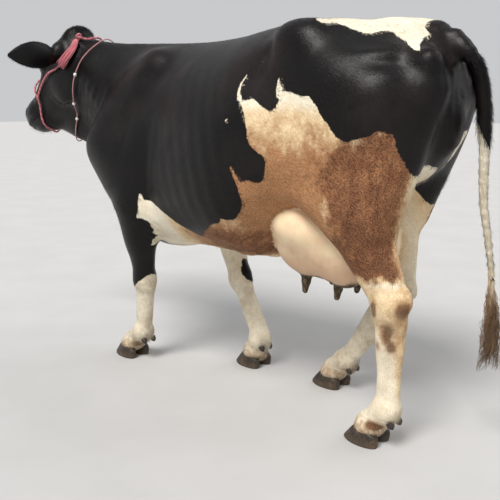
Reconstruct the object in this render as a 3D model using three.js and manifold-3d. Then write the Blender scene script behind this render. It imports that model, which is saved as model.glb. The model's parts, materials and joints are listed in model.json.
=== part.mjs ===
// A walking dairy cow, life size, wearing a rope headstall and a beaded neck cord.
// Millimetres, +Z up. The nose points along -Y, the animal's left side is +X, and its soles stand at z = 0.
//
// The flesh is one smooth-blended field of named masses. It is skinned on a cell grid, thinned to few
// triangles, and parted by thin cuts into head, neck, trunk and legs. Udder, ears, eyes, tail, claws and
// tack are closed solids of their own, let into their neighbours with a hair-wide gap.
import * as THREE from "three";
import { mergeVertices } from "three/addons/utils/BufferGeometryUtils.js";
import Module from "manifold-3d";

const wasm = await Module();
wasm.setup();

// ---------------------------------------------------------------- driving dimensions
const CUT = 0.5; // width of a parting cut, and the gap left round a piece that is let into another
const GRID = 15; // cell size of the skinning grid
const FLESH_TRIANGLES = 3900;
const UDDER_TRIANGLES = 260;
const FLOOR = 22; // height of the ground in the drawing frame; the finished group is set down to zero

// Back, neck and belly: one row per station along the spine.
// [y, crest height, keel height, half width, height of the widest point, squareness above, squareness below,
//  sideways carriage]
const TRUNK = [
  [-1200, 1440, 1160, 50, 1330, 2.0, 1.6, 55],
  [-1130, 1478, 1100, 86, 1320, 2.0, 1.5, 52],
  [-1040, 1462, 1035, 106, 1285, 1.9, 1.4, 44],
  [-940, 1444, 925, 130, 1235, 1.8, 1.4, 30],
  [-850, 1434, 800, 160, 1150, 1.7, 1.5, 14],
  [-770, 1430, 700, 200, 1050, 1.6, 1.6, 4],
  [-690, 1426, 622, 226, 985, 1.6, 1.8, 0],
  [-580, 1422, 556, 242, 945, 1.6, 2.1, 0],
  [-440, 1416, 552, 264, 910, 1.7, 2.3, 0],
  [-260, 1414, 586, 306, 890, 1.9, 2.3, 0],
  [-60, 1426, 592, 350, 880, 2.1, 2.2, 0],
  [80, 1444, 586, 362, 900, 2.3, 2.1, 0],
  [220, 1460, 690, 344, 950, 2.5, 2.0, 0],
  [340, 1460, 786, 306, 1010, 2.6, 2.0, 0],
  [480, 1450, 846, 270, 1070, 2.6, 2.0, 0],
  [620, 1440, 890, 226, 1110, 2.4, 2.0, 0],
  [720, 1412, 940, 160, 1150, 2.1, 2.0, 0],
  [790, 1330, 1040, 50, 1180, 2.0, 2.0, 0],
];

// Head frame: u runs from the poll down the face, v towards the throat, w to the animal's left.
const POLL = [55, -1145, 1500];
const HEAD_PITCH = 40; // degrees that the face points below the horizon
const HEAD_ROLL = 3; // degrees that the left ear is carried above the right one
// [u, v of the face line, v of the jaw line, half width, v of the widest point, squareness above, below, 0]
const SKULL = [
  [-30, 48, 165, 46, 100, 2.2, 2.0, 0],
  [0, 16, 222, 76, 96, 2.4, 1.8, 0],
  [50, -2, 266, 98, 86, 2.6, 1.7, 0],
  [110, -6, 292, 108, 76, 2.8, 1.7, 0],
  [170, -4, 296, 108, 74, 2.8, 1.7, 0],
  [230, 4, 280, 98, 82, 2.6, 1.7, 0],
  [300, 16, 252, 82, 96, 2.4, 1.8, 0],
  [370, 28, 226, 68, 106, 2.2, 2.0, 0],
  [430, 38, 210, 60, 112, 2.2, 2.0, 0],
  [480, 50, 196, 56, 118, 2.2, 2.0, 0],
  [520, 70, 176, 40, 122, 2.2, 2.0, 0],
];
const EYE = { u: 190, v: 58, w: 105, radius: 21 };

// Joint centres of each leg in its phase of the walk; side is +1 on the left.
const LEGS = {
  fore_left: {
    side: 1, elbow: [216, -530, 745], knee: [163, -558, 404], fetlock: [134, -614, 152], hoof: [130, -712, FLOOR],
  },
  fore_right: {
    side: -1, elbow: [-205, -440, 750], knee: [-138, -264, 402], fetlock: [-142, -154, 152],
    hoof: [-152, -206, FLOOR],
  },
  hind_left: {
    side: 1, stifle: [222, 415, 885], hock: [182, 690, 526], hockPoint: [178, 737, 556],
    fetlock: [152, 674, 160], hoof: [146, 592, FLOOR],
  },
  hind_right: {
    side: -1, stifle: [-218, 365, 885], hock: [-150, 490, 455], hockPoint: [-152, 568, 492],
    fetlock: [-174, 283, 150], hoof: [-190, 196, FLOOR],
  },
};
const CLAW = { length: 140, width: 57, gap: 9, toeHeight: 68, heelHeight: 42, splay: 5 };
const DEWCLAW = { length: 34, radius: 14, apart: 27, behind: 58, height: 96 };
const TEAT = { length: 74, root: 21, tip: 12 };
const TEATS = { fore_left: [76, 272], fore_right: [-76, 272], hind_left: [58, 404], hind_right: [-58, 404] };

// One ear: a cupped leaf whose back faces the tail. Rows: [share of length, half breadth, depth of the cup].
const EAR = { length: 250, thickness: 7, spread: 72, lowered: 24 };
const EAR_SHAPE = [
  [0, 30, 30], [0.14, 42, 34], [0.3, 56, 32], [0.5, 63, 26], [0.7, 55, 19], [0.88, 33, 10], [1, 8, 3],
];

const TAIL = [
  [0, 776, 1374], [0, 826, 1328], [-2, 860, 1262], [-6, 880, 1180], [-10, 889, 1080], [-15, 890, 980],
  [-20, 894, 870], [-30, 908, 770], [-40, 924, 660], [-46, 930, 570],
];
const TAIL_RADIUS = { root: 33, tip: 12 };

const SWITCH = [[-46, 930, 566], [-50, 936, 490], [-53, 939, 390], [-52, 937, 300]];
const SWITCH_RADIUS = [[0, 13], [0.25, 22], [0.6, 28], [0.85, 24], [1, 9]];

// Tack. The headstall and the nose loop are given on the head, [u, v, w] on the left side; they are the same
// on the right. The nape points and the neck cord are given in the drawing frame.
const ROPE = { radius: 5, lift: 1.6 };
const CHEEK_ROPE = [
  [356, 121, 80], [301, 111, 88], [241, 108, 96], [171, 121, 106], [116, 144, 105], [64, 147, 100], [9, 135, 86],
];
const NAPE_ROPE = [[100, -1046, 1456], [78, -1016, 1452], [44, -996, 1462], [8, -1012, 1452], [-20, -1036, 1432]];
const NOSE_LOOP = [
  [322, 10, 0], [326, 26, 46], [336, 80, 76], [352, 121, 80], [374, 141, 68], [409, 170, 56], [445, 212, 33],
];
const CHIN = [455, 226, 0];
const KNOT = { at: [104, -1050, 1458], radii: [17, 15, 14] };
const TASSEL = {
  width: 26, depth: 4,
  path: [[118, -1046, 1440], [140, -1054, 1398], [154, -1076, 1362], [163, -1102, 1328]],
};
const NECK_CORD = {
  radius: 2.6, lift: 5,
  path: [
    [83, -944, 1420], [111, -961, 1393], [135, -983, 1357], [153, -1018, 1278], [122, -1080, 1165],
    [88, -1122, 1080], [78, -1152, 1015], [48, -1168, 984], [14, -1160, 1020], [0, -1134, 1086],
    [-40, -1070, 1190], [-66, -1012, 1285], [-50, -972, 1370], [-4, -946, 1425], [40, -938, 1440],
  ],
};
const BEAD = { radius: 8, at: [0.141, 0.266, 0.344, 0.703, 0.828] };

// ---------------------------------------------------------------- small maths
const RADIAN = Math.PI / 180;
const add = (a, b) => a.map((v, i) => v + b[i]);
const scale = (a, k) => a.map((v) => v * k);
const mix = (a, b, t) => a.map((v, i) => v + (b[i] - v) * t);
const clamp = (v, lo, hi) => Math.min(hi, Math.max(lo, v));

// The smaller of two distances, rounded over a width k where they meet.
function blendMin(a, b, k) {
  const h = Math.max(k - Math.abs(a - b), 0) / k;
  return Math.min(a, b) - (h * h * k) / 4;
}

// A smooth curve through station rows: every column is interpolated along the first one.
function stationCurve(rows) {
  const slope = (i, c) => {
    const lo = rows[Math.max(i - 1, 0)];
    const hi = rows[Math.min(i + 1, rows.length - 1)];
    return (hi[c] - lo[c]) / (hi[0] - lo[0]);
  };
  return (t) => {
    const s = clamp(t, rows[0][0], rows.at(-1)[0]);
    let i = 0;
    while (i < rows.length - 2 && s > rows[i + 1][0]) i += 1;
    const span = rows[i + 1][0] - rows[i][0];
    const q = (s - rows[i][0]) / span;
    const h1 = q * q * (3 - 2 * q);
    return rows[i].map((a, c) => {
      const tangents = (q * (1 - q) * (1 - q) * slope(i, c) - q * q * (1 - q) * slope(i + 1, c)) * span;
      return a + (rows[i + 1][c] - a) * h1 + tangents;
    });
  };
}

// ---------------------------------------------------------------- masses of the field
// A long body whose sections across its first axis are squared ovals, given by station rows.
function hull(rows, blend) {
  const curve = stationCurve(rows);
  let last = NaN;
  let row = null;
  return {
    blend, centre: [0, 0, 0], reach: Infinity,
    distance(along, across, up) {
      if (along !== last) {
        row = curve(along);
        last = along;
      }
      const [, high, low, half, wide, above, below, carriage] = row;
      const x = across - carriage;
      const z = up - wide;
      const rise = (high - wide) * z > 0 ? high - wide : wide - low;
      const power = (high - wide) * z > 0 ? above : below;
      const rho = ((Math.abs(x) / half) ** power + (Math.abs(z) / Math.abs(rise)) ** power) ** (1 / power);
      const radial = rho < 1e-6 ? -half : (1 - 1 / rho) * Math.hypot(x, z);
      const beyond = Math.max(rows[0][0] - along, along - rows.at(-1)[0]);
      return beyond > 0 ? Math.hypot(Math.max(radial, 0), beyond) : radial;
    },
  };
}

// A tapered, round-ended limb from a to b. flat is its thickness across X over its depth.
function limb(a, b, ra, rb, { flat = 1, blend = 30 } = {}) {
  const d = [b[0] - a[0], b[1] - a[1], b[2] - a[2]];
  const len2 = d[0] ** 2 + d[1] ** 2 + d[2] ** 2;
  return {
    blend, centre: mix(a, b, 0.5), reach: Math.sqrt(len2) / 2 + Math.max(ra, rb),
    distance(x, y, z) {
      const px = x - a[0];
      const py = y - a[1];
      const pz = z - a[2];
      const t = clamp((px * d[0] + py * d[1] + pz * d[2]) / len2, 0, 1);
      return Math.hypot((px - d[0] * t) / flat, py - d[1] * t, pz - d[2] * t) - (ra + (rb - ra) * t);
    },
  };
}

// An ellipsoid, leaning by lean degrees in the side view.
function lump(centre, radii, { lean = 0, blend = 30 } = {}) {
  const c = Math.cos(lean * RADIAN);
  const s = Math.sin(lean * RADIAN);
  return {
    blend, centre, reach: Math.max(...radii),
    distance(x, y, z) {
      const px = (x - centre[0]) / radii[0];
      const qy = (y - centre[1]) * c + (z - centre[2]) * s;
      const qz = (z - centre[2]) * c - (y - centre[1]) * s;
      const py = qy / radii[1];
      const pz = qz / radii[2];
      const near = Math.hypot(px, py, pz);
      const steep = Math.hypot(px / radii[0], py / radii[1], pz / radii[2]);
      return steep < 1e-9 ? -Math.min(...radii) : (near * (near - 1)) / steep;
    },
  };
}

// Masses blended together, with soft swellings (positive) and hollows (negative) pressed into their surface.
class Field {
  constructor() {
    this.masses = [];
    this.swells = [];
  }

  add(...masses) {
    this.masses.push(...masses);
  }

  swell(centre, radii, height) {
    this.swells.push({ centre, radii, height });
  }

  distance(x, y, z) {
    let d = 1e6;
    for (const m of this.masses) {
      const off = Math.hypot(x - m.centre[0], y - m.centre[1], z - m.centre[2]) - m.reach;
      if (off - m.blend < d) d = blendMin(d, m.distance(x, y, z), m.blend);
    }
    for (const { centre, radii, height } of this.swells) {
      const q = ((x - centre[0]) / radii[0]) ** 2 + ((y - centre[1]) / radii[1]) ** 2
        + ((z - centre[2]) / radii[2]) ** 2;
      if (q < 7) d -= height * Math.exp(-q);
    }
    return d;
  }
}

// ---------------------------------------------------------------- the head
const headTurn = new THREE.Matrix4().makeBasis(
  new THREE.Vector3(0, -Math.cos(HEAD_PITCH * RADIAN), -Math.sin(HEAD_PITCH * RADIAN)),
  new THREE.Vector3(0, Math.sin(HEAD_PITCH * RADIAN), -Math.cos(HEAD_PITCH * RADIAN)),
  new THREE.Vector3(1, 0, 0),
);
headTurn.premultiply(new THREE.Matrix4().makeRotationY(-HEAD_ROLL * RADIAN)).setPosition(...POLL);
const headInverse = headTurn.clone().invert().elements;

// A point of the head frame in the animal's frame.
function onHead(u, v, w) {
  return new THREE.Vector3(u, v, w).applyMatrix4(headTurn).toArray();
}

function headField() {
  const skull = hull(SKULL, 1);
  const field = new Field();
  field.add({
    blend: 1, centre: [250, 120, 0], reach: 400, distance: (u, v, w) => skull.distance(u, w, v),
  });
  const round = (u, v, w, ru, rv, rw, blend) => lump([u, v, w], [ru, rv, rw], { blend });
  field.add(round(-4, 40, 0, 52, 46, 74, 40)); // poll
  field.add(round(478, 116, 0, 76, 72, 75, 46)); // muzzle
  field.add(round(452, 182, 0, 66, 34, 46, 26)); // chin
  for (const side of [1, -1]) {
    field.add(round(160, 196, side * 62, 96, 88, 36, 40)); // jaw muscle
    field.add(round(184, 46, side * 84, 50, 36, 36, 30)); // brow
    field.add(round(64, 82, side * 98, 40, 40, 34, 34)); // root of the ear
    field.add(round(300, 96, side * 62, 96, 30, 22, 30)); // cheek ridge
    field.swell([520, 74, side * 48], [26, 16, 16], -7); // nostril
    field.swell([120, 62, side * 112], [34, 28, 24], -8); // temple
  }
  return {
    blend: 46, centre: onHead(250, 120, 0), reach: 420,
    distance(x, y, z) {
      const e = headInverse;
      return field.distance(
        e[0] * x + e[4] * y + e[8] * z + e[12],
        e[1] * x + e[5] * y + e[9] * z + e[13],
        e[2] * x + e[6] * y + e[10] * z + e[14],
      );
    },
  };
}

// ---------------------------------------------------------------- the flesh
function foreLeg(field, { side, elbow, knee, fetlock, hoof }) {
  const coronet = [hoof[0], hoof[1] + 20, FLOOR + 72];
  const blade = [side * 112, -520, 1310];
  const shoulder = [side * 190, -745, 975];
  field.add(limb(blade, shoulder, 62, 92, { flat: 0.68, blend: 120 }));
  field.add(limb(shoulder, elbow, 96, 98, { flat: 0.72, blend: 100 }));
  field.add(lump([side * 190, -575, 900], [74, 150, 150], { blend: 90 }));
  field.add(limb(elbow, knee, 100, 47, { flat: 0.8, blend: 50 }));
  field.add(lump(mix(elbow, knee, 0.3), [57, 84, 120], { blend: 40 }));
  field.add(lump(add(knee, [0, 0, 8]), [52, 54, 64], { blend: 26 }));
  field.add(limb(knee, fetlock, 41, 37, { flat: 0.88, blend: 26 }));
  field.add(limb(add(knee, [0, 30, -34]), add(fetlock, [0, 22, 16]), 22, 24, { blend: 22 }));
  field.add(lump(fetlock, [52, 51, 47], { blend: 24 }));
  field.add(limb(fetlock, coronet, 44, 48, { blend: 22 }));
  field.add(lump(add(coronet, [0, 0, -14]), [57, 54, 34], { blend: 18 }));
}

function hindLeg(field, { side, stifle, hock, hockPoint, fetlock, hoof }) {
  const coronet = [hoof[0], hoof[1] + 20, FLOOR + 72];
  const hamstring = [side * 172, hock[1] * 0.4 + 350, 800];
  field.add(limb([side * 150, 400, 1300], [side * 168, 590, 1190], 118, 108, { blend: 90 }));
  field.add(lump([side * 216, 326, 1392], [46, 74, 44], { blend: 90 })); // hook bone
  field.add(lump([side * 116, 750, 1300], [48, 50, 48], { blend: 60 })); // pin bone
  field.add(limb([side * 178, 470, 1190], stifle, 124, 84, { flat: 0.72, blend: 90 }));
  field.add(limb([side * 158, 590, 1140], mix(stifle, hamstring, 0.55), 146, 118, { flat: 0.66, blend: 90 }));
  field.add(limb([side * 112, 738, 1210], hamstring, 80, 82, { flat: 0.82, blend: 70 }));
  field.add(limb(mix(stifle, hamstring, 0.42), hock, 100, 50, { flat: 0.76, blend: 50 }));
  field.add(limb(hamstring, hockPoint, 46, 26, { flat: 0.7, blend: 40 }));
  field.add(lump(hock, [50, 60, 68], { blend: 30 }));
  field.add(lump(hockPoint, [28, 28, 36], { blend: 30 }));
  field.add(limb(hock, fetlock, 50, 41, { flat: 0.82, blend: 26 }));
  field.add(limb(add(hock, [0, 42, -46]), add(fetlock, [0, 28, 20]), 24, 25, { blend: 24 }));
  field.add(lump(fetlock, [52, 56, 50], { blend: 24 }));
  field.add(limb(fetlock, coronet, 47, 50, { blend: 22 }));
  field.add(lump(add(coronet, [0, 0, -14]), [58, 55, 34], { blend: 18 }));
}

function fleshField() {
  const field = new Field();
  const spine = hull(TRUNK, 1);
  field.add({ ...spine, distance: (x, y, z) => spine.distance(y, x, z) });
  field.add(headField());
  field.add(limb([50, -1330, 1085], [48, -1180, 1082], 46, 70, { flat: 0.45, blend: 60 })); // throat fold
  field.add(limb([48, -1190, 1120], [14, -850, 880], 66, 86, { flat: 0.4, blend: 90 })); // dewlap
  field.add(lump([2, -790, 790], [112, 90, 116], { blend: 130 })); // brisket
  foreLeg(field, LEGS.fore_left);
  foreLeg(field, LEGS.fore_right);
  hindLeg(field, LEGS.hind_left);
  hindLeg(field, LEGS.hind_right);
  field.add(limb([0, 560, 1374], [0, 715, 1372], 56, 48, { blend: 60 })); // tail head
  field.add(limb([0, 715, 1372], [0, 800, 1335], 48, 36, { blend: 30 }));
  field.add(lump([0, 764, 1140], [62, 38, 120], { blend: 60 })); // perineum
  for (const side of [1, -1]) {
    field.swell([side * 262, 190, 1225], [90, 80, 80], -20); // hollow of the flank
    field.swell([side * 190, 540, 1375], [70, 110, 60], -14); // between hook and pin
    field.swell([side * 150, -800, 1190], [70, 56, 140], -12); // before the shoulder
    field.swell([side * 265, -400, 1040], [80, 60, 170], -12); // behind the shoulder
  }
  return field;
}

function udderField() {
  const field = new Field();
  for (const side of [1, -1]) {
    field.add(lump([side * 82, 286, 700], [96, 158, 150], { lean: -12, blend: 60 }));
    field.add(lump([side * 80, 436, 700], [92, 126, 172], { lean: 6, blend: 60 }));
    field.add(lump([side * 112, 292, 750], [128, 146, 98], { lean: -14, blend: 50 }));
  }
  field.swell([0, 350, 530], [18, 200, 70], -12);
  return field;
}

// ---------------------------------------------------------------- skinning
// Walks a field on a grid of cells and returns a closed mesh of its zero surface, one vertex per cell.
function skin(field, low, high, step) {
  const n = low.map((v, i) => Math.ceil((high[i] - v) / step) + 1);
  const id = (i, j, k) => i + n[0] * (j + n[1] * k);
  const value = new Float32Array(n[0] * n[1] * n[2]);
  for (let j = 0; j < n[1]; j += 1) {
    for (let k = 0; k < n[2]; k += 1) {
      for (let i = 0; i < n[0]; i += 1) {
        value[id(i, j, k)] = field.distance(low[0] + i * step, low[1] + j * step, low[2] + k * step);
      }
    }
  }
  const cells = new Map();
  const points = [];
  const cellPoint = (i, j, k) => {
    const key = id(i, j, k);
    if (cells.has(key)) return cells.get(key);
    const sum = [0, 0, 0];
    let crossings = 0;
    for (let a = 0; a < 3; a += 1) {
      for (let side = 0; side < 4; side += 1) {
        const from = [0, 0, 0];
        from[(a + 1) % 3] = side & 1;
        from[(a + 2) % 3] = side >> 1;
        const to = [...from];
        to[a] = 1;
        const v0 = value[id(i + from[0], j + from[1], k + from[2])];
        const v1 = value[id(i + to[0], j + to[1], k + to[2])];
        if (v0 < 0 === v1 < 0) continue;
        from[a] = v0 / (v0 - v1);
        for (let c = 0; c < 3; c += 1) sum[c] += from[c];
        crossings += 1;
      }
    }
    const cell = [i, j, k];
    points.push(sum.map((s, c) => low[c] + (cell[c] + s / crossings) * step));
    cells.set(key, points.length - 1);
    return points.length - 1;
  };
  const faces = [];
  for (let k = 1; k < n[2] - 1; k += 1) {
    for (let j = 1; j < n[1] - 1; j += 1) {
      for (let i = 1; i < n[0] - 1; i += 1) {
        const here = value[id(i, j, k)] < 0;
        for (let a = 0; a < 3; a += 1) {
          const next = [i, j, k];
          next[a] += 1;
          if (here === value[id(...next)] < 0) continue;
          const around = [[0, 0], [1, 0], [1, 1], [0, 1]].map(([p, q]) => {
            const cell = [i, j, k];
            cell[(a + 1) % 3] -= p;
            cell[(a + 2) % 3] -= q;
            return cellPoint(...cell);
          });
          if (!here) around.reverse();
          faces.push([around[0], around[1], around[2]], [around[0], around[2], around[3]]);
        }
      }
    }
  }
  points.forEach((p, i) => {
    points[i] = ontoSurface(field, p, step);
  });
  return { points, faces };
}

// Outward slope of a field at a point.
function slopeAt(field, [x, y, z]) {
  const e = 1;
  return [
    (field.distance(x + e, y, z) - field.distance(x - e, y, z)) / (2 * e),
    (field.distance(x, y + e, z) - field.distance(x, y - e, z)) / (2 * e),
    (field.distance(x, y, z + e) - field.distance(x, y, z - e)) / (2 * e),
  ];
}

// Draws a point onto the zero surface of a field, moving it by no more than half a cell.
function ontoSurface(field, point, step) {
  let p = point;
  for (let pass = 0; pass < 3; pass += 1) {
    const g = slopeAt(field, p);
    const g2 = Math.max(g[0] ** 2 + g[1] ** 2 + g[2] ** 2, 0.05);
    const move = scale(g, -field.distance(...p) / g2);
    const length = Math.hypot(...move);
    p = add(p, length > step / 2 ? scale(move, step / 2 / length) : move);
  }
  return p;
}

// ---------------------------------------------------------------- thinning
// Quadric error of a plane, as the ten numbers of a symmetric matrix.
function planeQuadric([a, b, c, d], weight) {
  return [a * a, a * b, a * c, a * d, b * b, b * c, b * d, c * c, c * d, d * d].map((v) => v * weight);
}

function quadricError(q, [x, y, z]) {
  return q[0] * x * x + 2 * q[1] * x * y + 2 * q[2] * x * z + 2 * q[3] * x + q[4] * y * y
    + 2 * q[5] * y * z + 2 * q[6] * y + q[7] * z * z + 2 * q[8] * z + q[9];
}

// The point of least error, or the better of the edge's ends and middle where that has no one answer.
function bestPoint(q, a, b) {
  const m = new THREE.Matrix3().set(q[0], q[1], q[2], q[1], q[4], q[5], q[2], q[5], q[7]);
  const size = (q[0] + q[4] + q[7]) / 3;
  if (Math.abs(m.determinant()) > 1e-3 * size ** 3) {
    const v = new THREE.Vector3(-q[3], -q[6], -q[8]).applyMatrix3(m.invert()).toArray();
    if (Math.hypot(...add(v, scale(mix(a, b, 0.5), -1))) < 2 * Math.hypot(...add(a, scale(b, -1)))) return v;
  }
  return [a, b, mix(a, b, 0.5)].sort((p, r) => quadricError(q, p) - quadricError(q, r))[0];
}

const areaVector = (a, b, c) => {
  const u = add(b, scale(a, -1));
  const v = add(c, scale(a, -1));
  return [u[1] * v[2] - u[2] * v[1], u[2] * v[0] - u[0] * v[2], u[0] * v[1] - u[1] * v[0]];
};

// A binary heap of entries ordered by their cost.
class Heap {
  constructor() {
    this.items = [];
  }

  push(item) {
    const { items } = this;
    let i = items.push(item) - 1;
    while (i > 0 && items[(i - 1) >> 1].cost > item.cost) {
      items[i] = items[(i - 1) >> 1];
      i = (i - 1) >> 1;
    }
    items[i] = item;
  }

  pop() {
    const { items } = this;
    const top = items[0];
    const item = items.pop();
    if (items.length === 0) return top;
    let i = 0;
    for (;;) {
      let child = 2 * i + 1;
      if (child >= items.length) break;
      if (child + 1 < items.length && items[child + 1].cost < items[child].cost) child += 1;
      if (items[child].cost >= item.cost) break;
      items[i] = items[child];
      i = child;
    }
    items[i] = item;
    return top;
  }
}

// Collapses the edges that matter least until the wanted number of triangles is left. care(point) says how
// many times more a place matters than plain ones.
function thin({ points, faces }, target, care = () => 1) {
  const quadrics = points.map(() => new Array(10).fill(0));
  const stamp = points.map(() => 0);
  const facesOf = points.map(() => new Set());
  const alive = new Set(faces.keys());
  faces.forEach((face, f) => {
    const [a, b, c] = face.map((v) => points[v]);
    const normal = areaVector(a, b, c);
    const size = Math.hypot(...normal) || 1;
    const unit = scale(normal, 1 / size);
    const plane = [...unit, -(unit[0] * a[0] + unit[1] * a[1] + unit[2] * a[2])];
    const q = planeQuadric(plane, size * care(a));
    for (const v of face) {
      facesOf[v].add(f);
      quadrics[v] = quadrics[v].map((value, i) => value + q[i]);
    }
  });
  const neighbours = (v) => {
    const ring = new Set();
    for (const f of facesOf[v]) for (const w of faces[f]) if (w !== v) ring.add(w);
    return ring;
  };
  const heap = new Heap();
  const offer = (a, b) => {
    const q = quadrics[a].map((v, i) => v + quadrics[b][i]);
    const p = bestPoint(q, points[a], points[b]);
    const length2 = Math.hypot(...add(points[a], scale(points[b], -1))) ** 2;
    heap.push({ cost: quadricError(q, p) + length2 * 0.02, a, b, p, stamps: stamp[a] + stamp[b] });
  };
  points.forEach((_, v) => {
    for (const w of neighbours(v)) if (w > v) offer(v, w);
  });
  const turns = (v, other, p) => [...facesOf[v]].some((f) => {
    if (faces[f].includes(other)) return false;
    const before = areaVector(...faces[f].map((w) => points[w]));
    const after = areaVector(...faces[f].map((w) => (w === v ? p : points[w])));
    const dot = before[0] * after[0] + before[1] * after[1] + before[2] * after[2];
    return dot < 0.25 * Math.hypot(...before) * Math.hypot(...after);
  });
  while (alive.size > target && heap.items.length > 0) {
    const { a, b, p, stamps } = heap.pop();
    if (facesOf[a].size === 0 || facesOf[b].size === 0 || stamps !== stamp[a] + stamp[b]) continue;
    const ringB = neighbours(b);
    if (!ringB.has(a)) continue;
    const shared = [...neighbours(a)].filter((v) => ringB.has(v));
    if (shared.length !== 2 || turns(a, b, p) || turns(b, a, p)) continue;
    for (const f of [...facesOf[b]]) {
      if (faces[f].includes(a)) {
        for (const v of faces[f]) facesOf[v].delete(f);
        alive.delete(f);
      } else {
        faces[f] = faces[f].map((v) => (v === b ? a : v));
        facesOf[a].add(f);
      }
    }
    facesOf[b].clear();
    quadrics[a] = quadrics[a].map((v, i) => v + quadrics[b][i]);
    points[a] = p;
    stamp[a] += stamp[b] + 1;
    for (const v of neighbours(a)) offer(a, v);
  }
  return { points, faces: [...alive].map((f) => faces[f]) };
}

// ---------------------------------------------------------------- geometry and solids
function toGeometry({ points, faces }) {
  const geometry = new THREE.BufferGeometry();
  geometry.setAttribute("position", new THREE.Float32BufferAttribute(points.flat(), 3));
  geometry.setIndex(faces.flat());
  return geometry;
}

// A copy of a geometry with nothing but positions, whose faces share their corners.
function merge(geometry) {
  const bare = geometry.clone();
  bare.deleteAttribute("normal");
  bare.deleteAttribute("uv");
  return mergeVertices(bare, 1e-4);
}

function toSolid(geometry) {
  const merged = merge(geometry);
  return new wasm.Manifold(new wasm.Mesh({
    numProp: 3,
    vertProperties: new Float32Array(merged.attributes.position.array),
    triVerts: new Uint32Array(merged.index.array),
  }));
}

function fromSolid(solid) {
  const mesh = solid.getMesh();
  const geometry = new THREE.BufferGeometry();
  geometry.setAttribute("position", new THREE.BufferAttribute(mesh.vertProperties, 3));
  geometry.setIndex(new THREE.BufferAttribute(mesh.triVerts, 1));
  return geometry;
}

// A closed body through rings of equal point counts, capped flat at both ends unless it runs round on itself.
function loft(rings, endless = false) {
  const count = rings[0].length;
  const points = rings.flat();
  const faces = [];
  for (let r = 0; r < rings.length - (endless ? 0 : 1); r += 1) {
    const next = ((r + 1) % rings.length) * count;
    for (let i = 0; i < count; i += 1) {
      const a = r * count + i;
      const b = r * count + ((i + 1) % count);
      const across = next + ((i + 1) % count);
      faces.push([a, b, across], [a, across, next + i]);
    }
  }
  const ends = endless ? [] : [[rings[0], 0, true], [rings.at(-1), points.length - count, false]];
  for (const [ring, start, flip] of ends) {
    const centre = scale(ring.reduce((s, p) => add(s, p)), 1 / count);
    points.push(centre);
    for (let i = 0; i < count; i += 1) {
      const face = [start + i, start + ((i + 1) % count), points.length - 1];
      faces.push(flip ? face.reverse() : face);
    }
  }
  const volume = faces.reduce((sum, [a, b, c]) => {
    const n = areaVector(points[a], points[b], points[c]);
    return sum + n[0] * points[a][0] + n[1] * points[a][1] + n[2] * points[a][2];
  }, 0);
  return toGeometry({ points, faces: volume < 0 ? faces.map((f) => [...f].reverse()) : faces });
}

// A solid like a geometry, whose surface stands out by a width.
function swollen(geometry, width = CUT) {
  const grown = merge(geometry);
  grown.computeVertexNormals();
  const { position, normal } = grown.attributes;
  for (let i = 0; i < position.count; i += 1) {
    position.setXYZ(
      i,
      position.getX(i) + normal.getX(i) * width,
      position.getY(i) + normal.getY(i) * width,
      position.getZ(i) + normal.getZ(i) * width,
    );
  }
  return toSolid(grown);
}

// A thin plate through a point, square to a direction: the saw that parts the flesh.
function plate(centre, normal, width, height, thickness = CUT) {
  const geometry = new THREE.BoxGeometry(width, height, thickness);
  const turn = new THREE.Matrix4().lookAt(
    new THREE.Vector3(...normal), new THREE.Vector3(), new THREE.Vector3(0, 0, 1),
  );
  geometry.applyMatrix4(turn.setPosition(...centre));
  return toSolid(geometry);
}

// ---------------------------------------------------------------- small pieces
// The horn of one claw: a flat-soled wedge, blunt at the heel and pointed at the toe.
function claw([x, y], side, outer, grow = 0) {
  const width = CLAW.width + 2 * grow;
  const ring = (height, shrink, back) => {
    const points = [];
    for (let i = 0; i < 12; i += 1) {
      const a = (i / 12) * 2 * Math.PI;
      const along = -Math.cos(a);
      const taper = along < 0 ? 1 - 0.42 * along ** 2 : 1;
      const px = Math.sin(a) * (width / 2) * taper * shrink;
      const py = along * (CLAW.length / 2 + grow) * shrink + back;
      const tilt = mix([CLAW.toeHeight], [CLAW.heelHeight], (along + 1) / 2)[0];
      points.push([px, py, FLOOR + height * (tilt + grow)]);
    }
    return points;
  };
  const rings = [ring(0, 0.96, 0), ring(0.12, 1, 0), ring(0.55, 0.88, 9), ring(1, 0.75, 19)];
  const turn = -side * outer * CLAW.splay * RADIAN;
  const shift = side * outer * (CLAW.width + CLAW.gap) / 2;
  return loft(rings.map((r) => r.map(([px, py, pz]) => [
    x + shift + px * Math.cos(turn) - py * Math.sin(turn),
    y + px * Math.sin(turn) + py * Math.cos(turn),
    pz,
  ])));
}

function ear(side) {
  const shape = stationCurve(EAR_SHAPE);
  const root = onHead(66, 82, side * 104);
  const rings = [];
  for (let i = 0; i <= 7; i += 1) {
    const t = 1 - (1 - i / 7) ** 1.25;
    const [, breadth, cup] = shape(t);
    const centre = add(root, [
      side * EAR.length * t * 0.985,
      EAR.length * (0.1 * Math.sin(t * Math.PI) - 0.04 * t),
      EAR.length * (0.05 * t - 0.06 * t * t) - EAR.lowered,
    ]);
    const at = (angle, r) => {
      const a = angle * EAR.spread * RADIAN;
      const lift = Math.cos(a) - Math.cos(EAR.spread * RADIAN);
      return add(centre, [0, (cup + r) * lift * 1.1, (breadth + r) * Math.sin(a)]);
    };
    const ring = [];
    for (let k = -3; k <= 3; k += 1) ring.push(at(k / 3, 0));
    for (let k = 3; k >= -3; k -= 1) ring.push(at(k / 3, -Math.min(EAR.thickness, breadth * 0.4)));
    rings.push(ring);
  }
  return loft(rings);
}

// A smooth curve through points.
function curveThrough(points, endless = false) {
  return new THREE.CatmullRomCurve3(points.map((p) => new THREE.Vector3(...p)), endless, "centripetal");
}

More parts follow.
